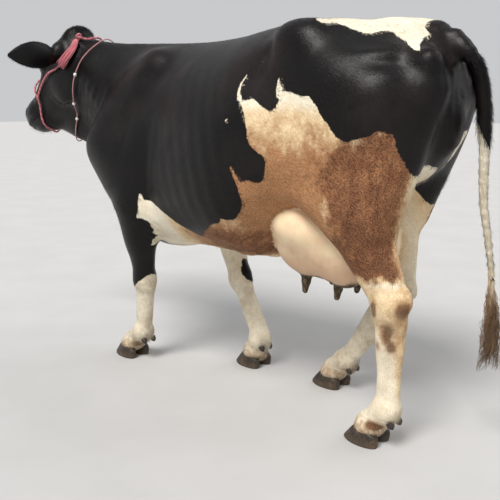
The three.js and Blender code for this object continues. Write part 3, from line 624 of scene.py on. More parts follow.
# ---------------------------------------------------------------- the flesh
class Flesh:
    """Builds the field of the whole animal from its named masses."""

    spine = np.array([
        [-1200, 1440, 1160, 50, 1330, 2.0, 1.6, 55], [-1130, 1478, 1100, 86, 1320, 2.0, 1.5, 52],
        [-1040, 1462, 1035, 106, 1285, 1.9, 1.4, 44], [-940, 1444, 925, 130, 1235, 1.8, 1.4, 30],
        [-850, 1434, 800, 160, 1150, 1.7, 1.5, 14], [-770, 1430, 700, 200, 1050, 1.6, 1.6, 4],
        [-690, 1426, 622, 226, 985, 1.6, 1.8, 0], [-580, 1422, 556, 242, 945, 1.6, 2.1, 0],
        [-440, 1416, 552, 264, 910, 1.7, 2.3, 0], [-260, 1414, 586, 306, 890, 1.9, 2.3, 0],
        [-60, 1426, 592, 350, 880, 2.1, 2.2, 0], [80, 1444, 586, 362, 900, 2.3, 2.1, 0],
        [220, 1460, 690, 344, 950, 2.5, 2.0, 0], [340, 1460, 786, 306, 1010, 2.6, 2.0, 0],
        [480, 1450, 846, 270, 1070, 2.6, 2.0, 0], [620, 1440, 890, 226, 1110, 2.4, 2.0, 0],
        [720, 1412, 940, 160, 1150, 2.1, 2.0, 0], [790, 1330, 1040, 50, 1180, 2.0, 2.0, 0],
    ], dtype=float)
    skull = np.array([
        [-30, 48, 165, 46, 100, 2.2, 2.0, 0], [0, 16, 222, 76, 96, 2.4, 1.8, 0],
        [50, -2, 266, 98, 86, 2.6, 1.7, 0], [110, -6, 292, 108, 76, 2.8, 1.7, 0],
        [170, -4, 296, 108, 74, 2.8, 1.7, 0], [230, 4, 280, 98, 82, 2.6, 1.7, 0],
        [300, 16, 252, 82, 96, 2.4, 1.8, 0], [370, 28, 226, 68, 106, 2.2, 2.0, 0],
        [430, 38, 210, 60, 112, 2.2, 2.0, 0], [480, 50, 196, 56, 118, 2.2, 2.0, 0],
        [520, 70, 176, 40, 122, 2.2, 2.0, 0],
    ], dtype=float)

    def head(self) -> Field:
        """The head's own field, in head coordinates.

        Returns:
            The blended masses.
        """
        out = Field(Hull(self.skull, 0, 2, 1))
        # poll, muzzle and chin
        out.add(Lump(np.array([-4, 40, 0]), (52, 46, 74), blend=40))
        out.add(Lump(np.array([478, 116, 0]), (76, 72, 75), blend=46))
        out.add(Lump(np.array([452, 182, 0]), (66, 34, 46), blend=26))
        # jaw muscle, brow, root of the ear and cheek ridge, then the hollows of nostril and temple
        for side in (1, -1):
            out.add(Lump(np.array([160, 196, side * 62]), (96, 88, 36), blend=40))
            out.add(Lump(np.array([184, 46, side * 84]), (50, 36, 36), blend=30))
            out.add(Lump(np.array([64, 82, side * 98]), (40, 40, 34), blend=34))
            out.add(Lump(np.array([300, 96, side * 62]), (96, 30, 22), blend=30))
            out.swell((520, 74, side * 48), (26, 16, 16), -7)
            out.swell((120, 62, side * 112), (34, 28, 24), -8)
        return out

    def fore_leg(self, out: Field, leg: Leg) -> None:
        """Adds a fore leg's masses, from the shoulder blade to the coronet.

        Args:
            out: The field that they go into.
            leg: The leg's joints.
        """
        s = leg.side
        elbow, knee, fetlock = (np.array(j, float) for j in (leg.elbow, leg.knee, leg.fetlock))
        blade, shoulder = (s * 112, -520, 1310), (s * 190, -745, 975)
        # shoulder blade and upper arm, the muscle behind them, forearm, knee, cannon bone and its tendon,
        # then fetlock, pastern and coronet
        out.add(
            Limb(blade, shoulder, 62, 92, 0.68, 120), Limb(shoulder, elbow, 96, 98, 0.72, 100),
            Lump(np.array([s * 190, -575, 900]), (74, 150, 150), blend=90),
            Limb(elbow, knee, 100, 47, 0.8, 50), Lump(elbow + (knee - elbow) * 0.3, (57, 84, 120), blend=40),
            Lump(knee + [0, 0, 8], (52, 54, 64), blend=26), Limb(knee, fetlock, 41, 37, 0.88, 26),
            Limb(knee + [0, 30, -34], fetlock + [0, 22, 16], 22, 24, 1, 22),
            Lump(fetlock, (52, 51, 47), blend=24), Limb(fetlock, leg.coronet, 44, 48, 1, 22),
            Lump(leg.coronet - [0, 0, 14], (57, 54, 34), blend=18),
        )

    def hind_leg(self, out: Field, leg: Leg) -> None:
        """Adds a hind leg's masses, from hook and pin bones to the coronet.

        Args:
            out: The field that they go into.
            leg: The leg's joints.
        """
        s = leg.side
        stifle, hock, point, fetlock = (
            np.array(j, float) for j in (leg.stifle, leg.hock, leg.hock_point, leg.fetlock)
        )
        hamstring = np.array([s * 172, hock[1] * 0.4 + 350, 800])
        # croup with hook and pin bones, thigh, buttock and gaskin, hock and its point, cannon bone and its
        # tendon, then fetlock, pastern and coronet
        out.add(
            Limb((s * 150, 400, 1300), (s * 168, 590, 1190), 118, 108, 1, 90),
            Lump(np.array([s * 216, 326, 1392]), (46, 74, 44), blend=90),
            Lump(np.array([s * 116, 750, 1300]), (48, 50, 48), blend=60),
            Limb((s * 178, 470, 1190), stifle, 124, 84, 0.72, 90),
            Limb((s * 158, 590, 1140), stifle + (hamstring - stifle) * 0.55, 146, 118, 0.66, 90),
            Limb((s * 112, 738, 1210), hamstring, 80, 82, 0.82, 70),
            Limb(stifle + (hamstring - stifle) * 0.42, hock, 100, 50, 0.76, 50),
            Limb(hamstring, point, 46, 26, 0.7, 40), Lump(hock, (50, 60, 68), blend=30),
            Lump(point, (28, 28, 36), blend=30), Limb(hock, fetlock, 50, 41, 0.82, 26),
            Limb(hock + [0, 42, -46], fetlock + [0, 28, 20], 24, 25, 1, 24),
            Lump(fetlock, (52, 56, 50), blend=24), Limb(fetlock, leg.coronet, 47, 50, 1, 22),
            Lump(leg.coronet - [0, 0, 14], (58, 55, 34), blend=18),
        )

    def body(self) -> Field:
        """The flesh that the tack lies on: trunk, neck, head and legs.

        Returns:
            The blended masses.
        """
        out = Field(Hull(self.spine, 1, 0, 2), HeadMass(self.head()))
        # throat fold, dewlap and brisket
        out.add(Limb((50, -1330, 1085), (48, -1180, 1082), 46, 70, 0.45, 60))
        out.add(Limb((48, -1190, 1120), (14, -850, 880), 66, 86, 0.4, 90))
        out.add(Lump(np.array([2, -790, 790]), (112, 90, 116), blend=130))
        for leg in LEGS:
            (self.fore_leg if leg.elbow else self.hind_leg)(out, leg)
        # root of the tail, and the flesh under it
        out.add(Limb((0, 560, 1374), (0, 715, 1372), 56, 48, 1, 60))
        out.add(Limb((0, 715, 1372), (0, 800, 1335), 48, 36, 1, 30))
        out.add(Lump(np.array([0, 764, 1140]), (62, 38, 120), blend=60))
        # hollows of the flank, between hook and pin bones, before the shoulder and behind it
        for s in (1, -1):
            out.swell((s * 262, 190, 1225), (90, 80, 80), -20)
            out.swell((s * 190, 540, 1375), (70, 110, 60), -14)
            out.swell((s * 150, -800, 1190), (70, 56, 140), -12)
            out.swell((s * 265, -400, 1040), (80, 60, 170), -12)
        return out

    def udder(self) -> Field:
        """The four quarters of the udder.

        Returns:
            The blended masses.
        """
        out = Field()
        # fore quarter, hind quarter and where they join the belly, then the groove between the sides
        for s in (1, -1):
            out.add(Lump(np.array([s * 82, 286, 700]), (96, 158, 150), lean=-12, blend=60))
            out.add(Lump(np.array([s * 80, 436, 700]), (92, 126, 172), lean=6, blend=60))
            out.add(Lump(np.array([s * 112, 292, 750]), (128, 146, 98), lean=-14, blend=50))
        out.swell((0, 350, 530), (18, 200, 70), -12)
        return out


@dataclass(frozen=True)
class HeadMass:
    """The head as one mass of the body's field."""

    field: Field
    blend: float = 46.0
    reach: float = 420.0

    @property
    def centre(self) -> Array:
        """Middle of the head."""
        return HEAD.spot(250.0, 120.0, 0.0)

    def distance(self, p: Array) -> Array:
        """Signed distance of points from the head."""
        return self.field.distance(HEAD.to_head(p))


@dataclass(frozen=True)
class FieldMass:
    """A field of its own, such as the udder, joined to the body as one mass."""

    field: Field
    centre: Array
    reach: float
    blend: float

    def distance(self, p: Array) -> Array:
        """Signed distance of points from the mass."""
        return self.field.distance(p)


class Relief:
    """The fine form of the skin: folds, veins, lips and nostrils, in millimetres outwards.

    Bumps are rows of height, centre and radii. Those of the head and body are mirrored.
    """

    head_bumps = {
        "hollow beside the nose": (-5.0, (335, 54, 60), (90, 26, 24)),
        "crest of the cheek": (4.5, (292, 122, 82), (56, 12, 30)),
        "arch behind the eye": (4.0, (130, 78, 112), (52, 11, 26)),
        "brow": (5.0, (178, 24, 98), (34, 14, 26)),
        "hollow under the eye": (-5.0, (222, 92, 104), (30, 16, 22)),
        "eye socket": (-11.0, (EYE.u, EYE.v + 1, EYE.w + 14), (23, 19, 26)),
        "dip of the forehead": (-4.0, (118, -6, 0), (60, 30, 40)),
        "bridge of the nose": (3.0, (250, 4, 26), (110, 20, 14)),
        "corner of the jaw": (3.0, (96, 244, 70), (46, 26, 24)),
        "hollow before the jaw": (-3.0, (250, 206, 66), (60, 26, 26)),
        "corner of the mouth": (-3.0, (396, 170, 60), (12, 9, 16)),
    }
    body_bumps = {
        "edge from hook to pin": (9.0, (178, 610, 1330), (60, 66, 20)),
        "hollow under that edge": (-8.0, (196, 640, 1288), (60, 80, 22)),
        "hollow under the pin": (-8.0, (150, 735, 1255), (56, 70, 52)),
        "hollow before the hook": (-7.0, (262, 232, 1330), (60, 24, 70)),
        "front of the shoulder": (7.0, (190, -770, 1190), (60, 34, 150)),
        "groove of the shoulder blade": (-5.0, (215, -640, 1230), (60, 40, 120)),
        "point of the shoulder": (6.0, (238, -690, 1010), (60, 60, 60)),
        "hollow behind the shoulder": (-6.0, (214, -560, 1030), (60, 30, 120)),
        "muscle over the elbow": (5.0, (206, -470, 860), (60, 34, 110)),
        "hollow behind the elbow": (-6.0, (236, -405, 850), (50, 20, 90)),
        "fold at the navel": (12.0, (0, 60, 585), (34, 120, 60)),
    }
    rear_bumps = {
        "folds under the tail": (16.0, (-8, 806, 1112), (26, 60, 46)),
        "cleft between them": (-9.0, (-8, 830, 1106), (5, 60, 34)),
        "pit under the tail": (-7.0, (0, 820, 1196), (12, 60, 14)),
        "ring round the pit": (6.0, (0, 812, 1196), (30, 60, 28)),
    }
    nostril = np.array([[549, 104, 25], [541, 84, 36], [524, 74, 48], [503, 82, 58]], dtype=float)
    milk_vein = np.array(
        [[122, 150], [150, 60], [128, -40], [160, -140], [138, -240], [170, -340]], dtype=float)
    rib_spacing = 78.0

    @staticmethod
    def openings(q: Array) -> tuple[Array, Array]:
        """How far points of the head lie from a nostril's slit, and from the line of the lips.

        Args:
            q: Points in head coordinates, N by 3.

        Returns:
            The two distances of each point, in millimetres.
        """
        m = np.stack([q[:, 0], q[:, 1], np.abs(q[:, 2])], axis=1)
        slit, _ = polyline_distance(m, Relief.nostril)
        return slit, np.abs(m[:, 1] - 151 - (552 - m[:, 0]) * 0.085)

    @staticmethod
    def bumps(table: dict[str, tuple], m: Array) -> Array:
        """Height of all of a table's bumps at points."""
        return sum(height * bell(m, centre, radii) for height, centre, radii in table.values())

    def on_head(self, q: Array) -> Array:
        """Relief of the head, from head coordinates.

        Args:
            q: Points in head coordinates, N by 3.

        Returns:
            A height for each point, in millimetres.
        """
        u, v, w = q.T
        a = np.abs(w)
        m = np.stack([u, v, a], axis=1)
        out = self.bumps(self.head_bumps, m)
        # nostrils with their rims
        slit, _ = polyline_distance(m, self.nostril)
        out += 4.2 * hump(slit - 17, 7.5) - 19.0 * hump(slit, 8.6)
        # the line of the mouth between its lips
        over_lip = v - 151 - (552 - u) * 0.085
        shut = ease(392, 420, u)
        out += shut * (3.2 * hump(over_lip + 13, 8) - 7.0 * hump(over_lip, 3.6))
        out += shut * 2.2 * hump(over_lip - 11, 7)
        # the groove down the upper lip, then creases by the mouth and by the eye
        out -= 2.6 * hump(w, 3.0) * ease(538, 548, u) * ease(152, 140, v) * ease(78, 96, v)
        creases = np.sin((u * 0.42 + v * 0.12) * 0.55) * bell(m, (402, 126, 62), (26, 36, 24))
        lids = np.sin((u * 0.5 - v * 0.9) * 0.42) * bell(m, (228, 84, 100), (26, 20, 24))
        return out + 1.3 * creases + 1.1 * lids

    def on_body(self, p: Array) -> Array:
        """Relief of the trunk and legs, from drawing coordinates.

        Args:
            p: Points in the drawing frame, N by 3.

        Returns:
            A height for each point, in millimetres.
        """
        x, y, z = p.T
        a = np.abs(x)
        m = np.stack([a, y, z], axis=1)
        barrel = ease(-420, -300, y) * ease(170, 60, y) * ease(700, 820, z)
        barrel = barrel * ease(1330, 1180, z) * ease(120, 220, a)
        out = 0.7 * barrel * np.sin((y + 0.34 * (z - 950)) * math.tau / self.rib_spacing)
        out += self.bumps(self.body_bumps, m) + self.bumps(self.rear_bumps, p)
        # the milk vein under the belly
        under = ease(760, 700, z) * ease(-430, -330, y) * ease(190, 120, y)
        vein, _ = polyline_distance(np.stack([a, y], axis=1), self.milk_vein)
        out += under * 8.0 * hump(vein, 12)
        # wrinkles of the neck, and folds between the fore leg and the chest
        neck = ease(-1110, -1040, y) * ease(-800, -880, y) * ease(1420, 1300, z) * ease(30, 70, a)
        out += 1.6 * neck * np.sin((y * 0.9 - z * 0.45) * math.tau / 52)
        folds = bell(m, (190, -425, 640), (70, 60, 70))
        out += 3.0 * folds * np.sin((y + 0.5 * z) * math.tau / 24)
        # wrinkles at knee or hock and at the pastern, slimmer fetlocks and hind shanks, and coronet rims
        for leg in LEGS:
            near = hump(z - leg.joint[2], 40) * hump(x - leg.joint[0], 90) * hump(y - leg.joint[1], 110)
            out += 1.2 * near * np.sin(z * math.tau / 19)
            fold = hump(z - leg.fetlock[2] + 34, 20) * hump(y - leg.fetlock[1] + 30, 60)
            out -= 1.6 * fold * hump(x - leg.fetlock[0], 90) * (1 + np.sin(z * math.tau / 13))
            out -= 5.0 * bell(p, np.array(leg.fetlock) - [0, 0, 6], (90, 90, 52))
            out -= 8.0 * bell(p, np.array(leg.fetlock) + [0, 8, 125], (90, 110, 80)) * (leg.hock is not None)
            out += 3.0 * bell(p, (leg.hoof[0], leg.hoof[1] + 19, FLOOR + 68), (75, 75, 18))
        # wrinkles over the left hock, and the udder's veins
        out += 2.4 * bell(p, (205, 690, 608), (70, 66, 62)) * np.sin((y - 0.12 * z) * math.tau / 27)
        quarter = bell(m, (90, 350, 640), (110, 170, 120))
        veins = wave(p * [1, 1, 0.55], 11, 210, 2)
        return out + quarter * 2.6 * hump(veins, 0.16)


class Skin:
    """The animal's one skin: its field, mesh, charts and painted values."""

    def __init__(self, step: float = 12.0) -> None:
        """Prepares the field.

        Args:
            step: Cell size of the first skinning grid.
        """
        self.step = step
        flesh = Flesh()
        self.tack_bed = flesh.body()
        self.field = flesh.body()
        udder = flesh.udder()
        self.bag = flesh.udder()
        for x, y in TEATS:
            lean = math.copysign(5, x)
            top = udder.stand_over(np.array([[x, y, 545.0]]), 0.0)[0]
            udder.add(
                Limb(top + [0, 0, 16], top + [lean, 0, -26], 26, 17, 1, 18),
                Limb(top + [lean, 0, -26], top + [lean * 1.6, -3, -61], 17, 11.5, 1, 6),
            )
        tail = Field()
        line = smooth_path(TAIL.course, 26)
        girth = TAIL.radius(np.linspace(0, 1, 26))
        for a, b, ra, rb in zip(line[:-1], line[1:], girth[:-1], girth[1:]):
            tail.add(Limb(a, b, ra, rb, 1, 4))
        self.field.add(FieldMass(udder, np.array([0.0, 350, 680]), 340, 7))
        self.field.add(FieldMass(tail, np.array([-20.0, 850, 970]), 460, 14))
        for s in (1, -1):
            root = EAR.root(s)
            self.field.add(Limb(root + [-s * 16, 2, -18], root + [s * 40, 17, -23], 33, 25, 1, 26))
        self.relief = Relief()

    def depth(self, p: Array) -> Array:
        """How far the skin lies under the coat's outside.

        Args:
            p: Points in the drawing frame, N by 3.

        Returns:
            A depth for each point, in millimetres.
        """
        q = HEAD.to_head(p)
        out = 2.2 + 1.8 * ease(480, 620, p[:, 2])
        out -= 1.6 * ease(-40, 40, q[:, 0]) * ease(-1080, -1150, p[:, 1])
        out -= 1.4 * ease(390, 470, q[:, 0]) * ease(-1080, -1150, p[:, 1])
        bag = np.exp(-((np.linalg.norm((p - [0, 350, 600]) / [190, 260, 220], axis=1)) ** 4))
        return np.maximum(out - 2.6 * bag, 0.8)

    def udder_share(self, p: Array, soft: float = 7.0) -> Array:
        """How much points belong to the udder and not to the flesh round it, 0 to 1.

        Args:
            p: Points in the drawing frame, N by 3.
            soft: How much the nearer the udder must be for a whole share.

        Returns:
            A share for each point.
        """
        out = np.zeros(len(p))
        near = (np.abs(p[:, 0]) < 290) & (np.abs(p[:, 1] - 340) < 320) & (p[:, 2] < 900) & (p[:, 2] > 420)
        if near.any():
            gap = self.tack_bed.distance(p[near]) - self.bag.distance(p[near])
            out[near] = ease(-soft, soft, gap)
        return out

    def level(self, p: Array) -> Array:
        """Signed distance of points from the finished skin.

        Args:
            p: Points in the drawing frame, N by 3.

        Returns:
            A distance for each point, below zero inside.
        """
        q = HEAD.to_head(p)
        on_head = (q[:, 0] > -70) & (p[:, 1] < -1060)
        extra = np.zeros(len(p))
        if on_head.any():
            extra[on_head] = self.relief.on_head(q[on_head])
        if (~on_head).any():
            extra[~on_head] = self.relief.on_body(p[~on_head])
        share = self.udder_share(p, 16.0)
        crease = 5.0 * share * (1 - share) * 4
        return self.field.distance(p) + self.depth(p) - extra + crease

    def normal(self, p: Array, step: float = 1.0) -> tuple[Array, Array]:
        """Level and outward slope at points.

        Args:
            p: Points in the drawing frame, N by 3.
            step: How far off the slope is sampled.

        Returns:
            Each point's level and slope.
        """
        here = self.level(p)
        slope = np.stack([self.level(p + e) - here for e in np.eye(3) * step], axis=1) / step
        return here, slope

    def settle(self, p: Array, passes: int, reach: float) -> Array:
        """Draws points onto the skin, by no more than a reach in each pass.

        Args:
            p: Points in the drawing frame, N by 3.
            passes: How many times they are moved.
            reach: The longest single move.

        Returns:
            The moved points.
        """
        for _ in range(passes):
            here, g = self.normal(p)
            move = -g * (here / np.maximum((g * g).sum(axis=1), 0.12))[:, None]
            length = np.linalg.norm(move, axis=1, keepdims=True)
            p = p + move * np.minimum(1, reach / np.maximum(length, 1e-9))
        return p

    def sample_grid(self) -> tuple[Array, Array]:
        """Reads the field on a grid, closely only where the surface may pass.

        Returns:
            The values and the grid's low corner.
        """
        low, high = np.array([-410.0, -1660, 2]), np.array([410.0, 985, 1540])
        step = self.step * 4
        near = None
        for band in (150.0, 75.0, 34.0):
            n = np.ceil((high - low) / step).astype(int) + 1
            value = np.full(n, 1e3)
            if near is None:
                where = np.argwhere(np.ones(n, bool))
            else:
                old, value_old = near
                coarse = np.minimum((np.indices(n).reshape(3, -1).T + 1) // 2, np.array(value_old.shape) - 1)
                guess = value_old[tuple(coarse.T)]
                value = guess.reshape(n).copy()
                where = np.argwhere(np.abs(value) < old)
            p = low + where * step
            value[tuple(where.T)] = self.field.distance(p) + self.depth(p)
            near = (band, value)
            step /= 2
        self.step = step * 2
        return value, low

    def net(self) -> tuple[Array, Array]:
        """A closed net of quads over the skin.

        Returns:
            Points, and quads as rows of four point numbers.
        """
        value, low = self.sample_grid()
        inside = value < 0
        cells = np.array(value.shape) - 1
        size = int(cells.prod())
        weight, total, quads = np.zeros(size), np.zeros((size, 3)), []
        for axis in range(3):
            first = [slice(None)] * 3
            second = [slice(None)] * 3
            first[axis], second[axis] = slice(None, -1), slice(1, None)
            a, b = inside[tuple(first)], inside[tuple(second)]
            at = np.argwhere(a != b)
            v0, v1 = value[tuple(at.T)], value[tuple((at + np.eye(3, dtype=int)[axis]).T)]
            point = at.astype(float)
            point[:, axis] += v0 / (v0 - v1)
            ring = []
            for p, q in ((0, 0), (1, 0), (1, 1), (0, 1)):
                cell = at.copy()
                cell[:, (axis + 1) % 3] -= p
                cell[:, (axis + 2) % 3] -= q
                number = np.ravel_multi_index(np.clip(cell, 0, cells - 1).T, cells)
                weight += np.bincount(number, minlength=size)
                for c in range(3):
                    total[:, c] += np.bincount(number, point[:, c], minlength=size)
                ring.append(number)
            quad = np.stack(ring, axis=1)
            flip = v0 > 0
            quad[flip] = quad[flip, ::-1]
            quads.append(quad)
        used = weight > 0
        index = np.cumsum(used) - 1
        points = low + self.step * total[used] / weight[used, None]
        return points, index[np.vstack(quads)]

    def fine_places(self, p: Array, level: int) -> Array:
        """Which points need the net halved once more.

        Args:
            p: Points in the drawing frame, N by 3.
            level: How often the net has been halved so far.

        Returns:
            A mask.
        """
        q = HEAD.to_head(p)
        head = HEAD.holds(p, q)
        if level == 0:
            x, y, z = p.T
            tail = (y > 815) & (z < 1400)
            teats = (z < 590) & (y > 200) & (y < 470) & (np.abs(x) < 110) & (z > 440)
            fold = (y > -500) & (y < -370) & (z < 800) & (z > 540)
            return head | tail | teats | fold | (z < 250) | self.by_sliver(p)
        slit, lip = Relief.openings(q)
        return (head & ((slit < 26) | ((lip < 12) & (q[:, 0] > 385)))) | self.by_sliver(p)

    @staticmethod
    def by_sliver(p: Array) -> Array:
        """Which points lie by the thin pale slivers of the left flank.

        Args:
            p: Points in the drawing frame, N by 3.

        Returns:
            A mask.
        """
        out = np.zeros(len(p), bool)
        for line, _, _ in Markings.slivers:
            out |= (polyline_distance(p[:, 1:], np.array(line, float))[0] < 17) & (p[:, 0] > 60)
        return out

    def build(self) -> tuple[Array, list]:
        """Builds the skin without its ears and lids.

        Returns:
            Points in the drawing frame, and faces as lists of point numbers.
        """
        points, quads = self.net()
        points = self.settle(points, 1, self.step / 2)
        mesh = bpy.data.meshes.new("net")
        mesh.from_pydata(points.tolist(), [], quads.tolist())
        bm = bmesh.new()
        bm.from_mesh(mesh)
        bpy.data.meshes.remove(mesh)
        bmesh.ops.delete(bm, geom=self.small_shells(bm), context="VERTS")
        for level in range(2):
            where = np.array([v.co for v in bm.verts])
            fine = self.fine_places(where, level)
            bm.verts.index_update()
            edges = [e for e in bm.edges if fine[e.verts[0].index] and fine[e.verts[1].index]]
            bmesh.ops.subdivide_edges(bm, edges=edges, cuts=1, use_grid_fill=True)
            self.relax(bm, 2, self.step / 2 ** (level + 2))
        bmesh.ops.triangulate(bm, faces=[f for f in bm.faces if len(f.verts) > 4])
        bmesh.ops.recalc_face_normals(bm, faces=bm.faces)
        bm.verts.index_update()
        points = np.array([v.co for v in bm.verts])
        faces = [[v.index for v in f.verts] for f in bm.faces]
        bm.free()
        return points, faces

    @staticmethod
    def small_shells(bm: bmesh.types.BMesh) -> list:
        """Corners that don't belong to the one big shell.

        Args:
            bm: The net.

        Returns:
            The corners of every other shell.
        """
        seen, shells = set(), []
        for start in bm.verts:
            if start in seen:
                continue
            shell, stack = [], [start]
            seen.add(start)
            while stack:
                v = stack.pop()
                shell.append(v)
                for e in v.link_edges:
                    other = e.other_vert(v)
                    if other not in seen:
                        seen.add(other)
                        stack.append(other)
            shells.append(shell)
        shells.sort(key=len)
        return [v for shell in shells[:-1] for v in shell]

    def relax(self, bm: bmesh.types.BMesh, passes: int, reach: float) -> None:
        """Evens the corners out along the skin and draws them back onto it.

        Args:
            bm: The net.
            passes: How many times it is evened out.
            reach: The longest single move.
        """
        bm.verts.index_update()
        ends = np.array([[e.verts[0].index, e.verts[1].index] for e in bm.edges])
        p = np.array([v.co for v in bm.verts])
        count = np.bincount(ends.ravel(), minlength=len(p))[:, None]
        for _ in range(passes):
            total = np.stack([
                np.bincount(ends[:, 0], p[ends[:, 1], c], len(p))
                + np.bincount(ends[:, 1], p[ends[:, 0], c], len(p)) for c in range(3)
            ], axis=1)
            p = self.settle(p * 0.45 + total / count * 0.55, 1, reach)
        p = self.settle(p, 2, reach)
        for v, co in zip(bm.verts, p):
            v.co = co


# ---------------------------------------------------------------- markings and the lie of the coat
def rounded(corners: tuple, endless: bool = True) -> Array:
    """A 2-D outline with its corners eased."""
    flat = np.array([[a, b, 0.0] for a, b in corners], dtype=float)
    return smooth_path(flat, len(corners) * 4, endless)[:, :2]


def inside_by(p: Array, outline: Array) -> Array:
    """How far points lie inside a closed 2-D outline, below zero outside.

    Args:
        p: Points in the outline's plane, N by 2.
        outline: Its corners in order.

    Returns:
        A distance for each point.
    """
    loop = np.vstack([outline, outline[:1]])
    dist, _ = polyline_distance(p, loop)
    crossings = np.zeros(len(p), int)
    for (x0, y0), (x1, y1) in zip(loop[:-1], loop[1:]):
        if y0 == y1:
            continue
        spans = (p[:, 1] >= min(y0, y1)) & (p[:, 1] < max(y0, y1))
        crossings += spans & (p[:, 0] < x0 + (p[:, 1] - y0) * (x1 - x0) / (y1 - y0))
    return np.where(crossings % 2 == 1, dist, -dist)


class Markings:
    """Where the coat is pale, stained, thin or dark, and where shade and sheen are painted on it, as named outlines
    and soft spots.

    The side outlines are (y, z), the rump's is (x, y), and the escutcheon's, seen from behind, is (x, z).
    """

    flank_left = rounded((
        (142, 1210), (157, 1180), (184, 1144), (199, 1111), (207, 1075), (217, 1042), (251, 1010),
        (272, 998), (279, 966), (269, 934), (252, 907), (230, 911), (206, 917), (189, 903), (172, 929),
        (155, 951), (138, 974), (152, 938), (169, 894), (175, 863), (174, 834), (161, 804), (148, 788),
        (118, 764), (98, 765), (72, 769), (62, 748), (27, 743), (-22, 716), (-70, 693), (-108, 666),
        (-137, 674), (-171, 686), (-212, 701), (-263, 723), (-312, 746), (-359, 769), (-397, 784),
        (-409, 779), (-427, 788), (-441, 813), (-447, 768), (-452, 728), (-468, 700), (-449, 707),
        (-437, 698), (-424, 688), (-427, 653), (-439, 624), (-448, 591), (-467, 566), (-470, 460),
        (-470, -60), (900, -60), (900, 806), (832, 850), (776, 900), (748, 950), (728, 1006), (714, 1036),
        (709, 1063), (702, 1083), (684, 1085), (669, 1094), (652, 1084), (640, 1071), (616, 1069),
        (590, 1064), (571, 1054), (551, 1060), (531, 1074), (516, 1098), (494, 1120), (476, 1141),
        (464, 1163), (448, 1181), (428, 1197), (404, 1194), (377, 1203), (348, 1211), (327, 1211),
        (318, 1226), (304, 1248), (309, 1212), (314, 1184), (302, 1158), (282, 1146), (258, 1161),
        (235, 1174), (216, 1189), (198, 1186), (176, 1180),
    ))
    flank_right = rounded((
        (-620, -60), (-604, 400), (-540, 590), (-452, 642), (-400, 716), (-340, 742), (-262, 704),
        (-170, 672), (-84, 690), (-12, 744), (34, 812), (60, 894), (118, 962), (150, 1040), (132, 1110),
        (176, 1168), (250, 1176), (300, 1120), (352, 1084), (420, 1108), (486, 1150), (548, 1128),
        (574, 1040), (590, 950), (634, 836), (700, 752), (800, 716), (900, 700), (900, -60),
    ))
    rump = rounded((
        (213, 397), (204, 426), (172, 442), (162, 474), (156, 508), (154, 546), (144, 576), (127, 605),
        (129, 639), (130, 665), (131, 690), (146, 736), (114, 720), (85, 719), (70, 727), (68, 708),
        (33, 704), (0, 716), (-50, 700), (-104, 652), (-150, 604), (-214, 560), (-232, 486), (-196, 418),
        (-120, 386), (-56, 352), (10, 338), (70, 352), (120, 368), (176, 380),
    ))
    escutcheon = rounded((
        (-146, 1090), (-128, 1045), (-112, 1006), (-78, 954), (-54, 906), (-34, 852), (-44, 790),
        (-90, 738), (-240, 704), (-420, 690), (-420, -60), (420, -60), (420, 600), (200, 690), (130, 762),
        (62, 828), (-4, 876), (-62, 934), (-95, 1004), (-114, 1090),
    ))
    slivers = (
        (((148, 1190), (140, 1212), (142, 1238), (157, 1266)), 5.5, 2.2),
        (((309, 1196), (303, 1222), (303, 1256)), 5.0, 1.2),
        (((112, 1114), (117, 1117)), 4.0, 3.0),
    )
    spots = (
        ((229, 655, 521), (34, 13, 30)), ((212, 700, 440), (44, 30, 44)), ((203, 759, 527), (40, 26, 44)),
        ((196, 768, 452), (34, 16, 58)), ((214, 664, 396), (34, 16, 20)), ((214, 716, 404), (30, 20, 26)),
        ((189, 650, 104), (60, 34, 20)), ((136, -633, 92), (60, 30, 18)), ((-162, -190, 70), (40, 60, 22)),
        ((-176, 330, 118), (50, 40, 26)), ((-176, 452, 470), (30, 30, 46)),
        ((-160, -150, 110), (34, 30, 22)),
    )

    def pale(self, p: Array) -> Array:
        """How far points lie inside the pale markings, in millimetres, below zero in the black.

        Args:
            p: Points in the drawing frame, N by 3.

        Returns:
            A distance for each point.
        """
        x, y, z = p.T
        side = p[:, 1:]
        left = inside_by(side, self.flank_left)
        for line, start, end in self.slivers:
            dist, t = polyline_distance(side, np.array(line, float))
            left = np.maximum(left, start + (end - start) * t - dist)
        right = inside_by(side, self.flank_right)
        # each side's outline stops at the middle of the body, but not on the legs
        legs = ease(700, 600, z) * 400
        out = np.maximum(np.minimum(left, (x + 4) * 2.0 + legs), np.minimum(right, (4 - x) * 2.0 + legs))
        # the right hind leg is pale all the way down
        out = np.where((z < 620) & (x < 0) & (y > -120), np.maximum(out, 620 - z), out)
        # the rump's outline counts on the croup, and the escutcheon's from behind
        out = np.maximum(out, np.minimum(inside_by(p[:, :2], self.rump), z - 1298))
        rear = np.minimum(inside_by(p[:, [0, 2]], self.escutcheon), y - 540)
        out = np.maximum(out, np.where(y > 540, rear, -1e3))
        # the left fore leg's sock, and the dark patch on the right knee
        sock_left = 394 + 0.8 * np.maximum(y + 560, -30) - z
        out = np.where((z < 760) & (x > 20) & (y < -462), np.maximum(sock_left, -z + 380), out)
        patch = 44 - 60 * (1 - bell(p, (-150, -196, 476), (60, 46, 64)))
        out = np.where((x < -60) & (y < 40) & (z < 560) & (z > 340), np.minimum(out, -patch), out)
        # the tail is pale below its black root
        return np.where(self.on_tail(p), 1082 - z - 2.4 * (y - 889), out)

    @staticmethod
    def on_tail(p: Array) -> Array:
        """Which points belong to the hanging tail."""
        return (p[:, 1] > 818) & (np.abs(p[:, 0] + 18) < 70) & (p[:, 2] < 1330)

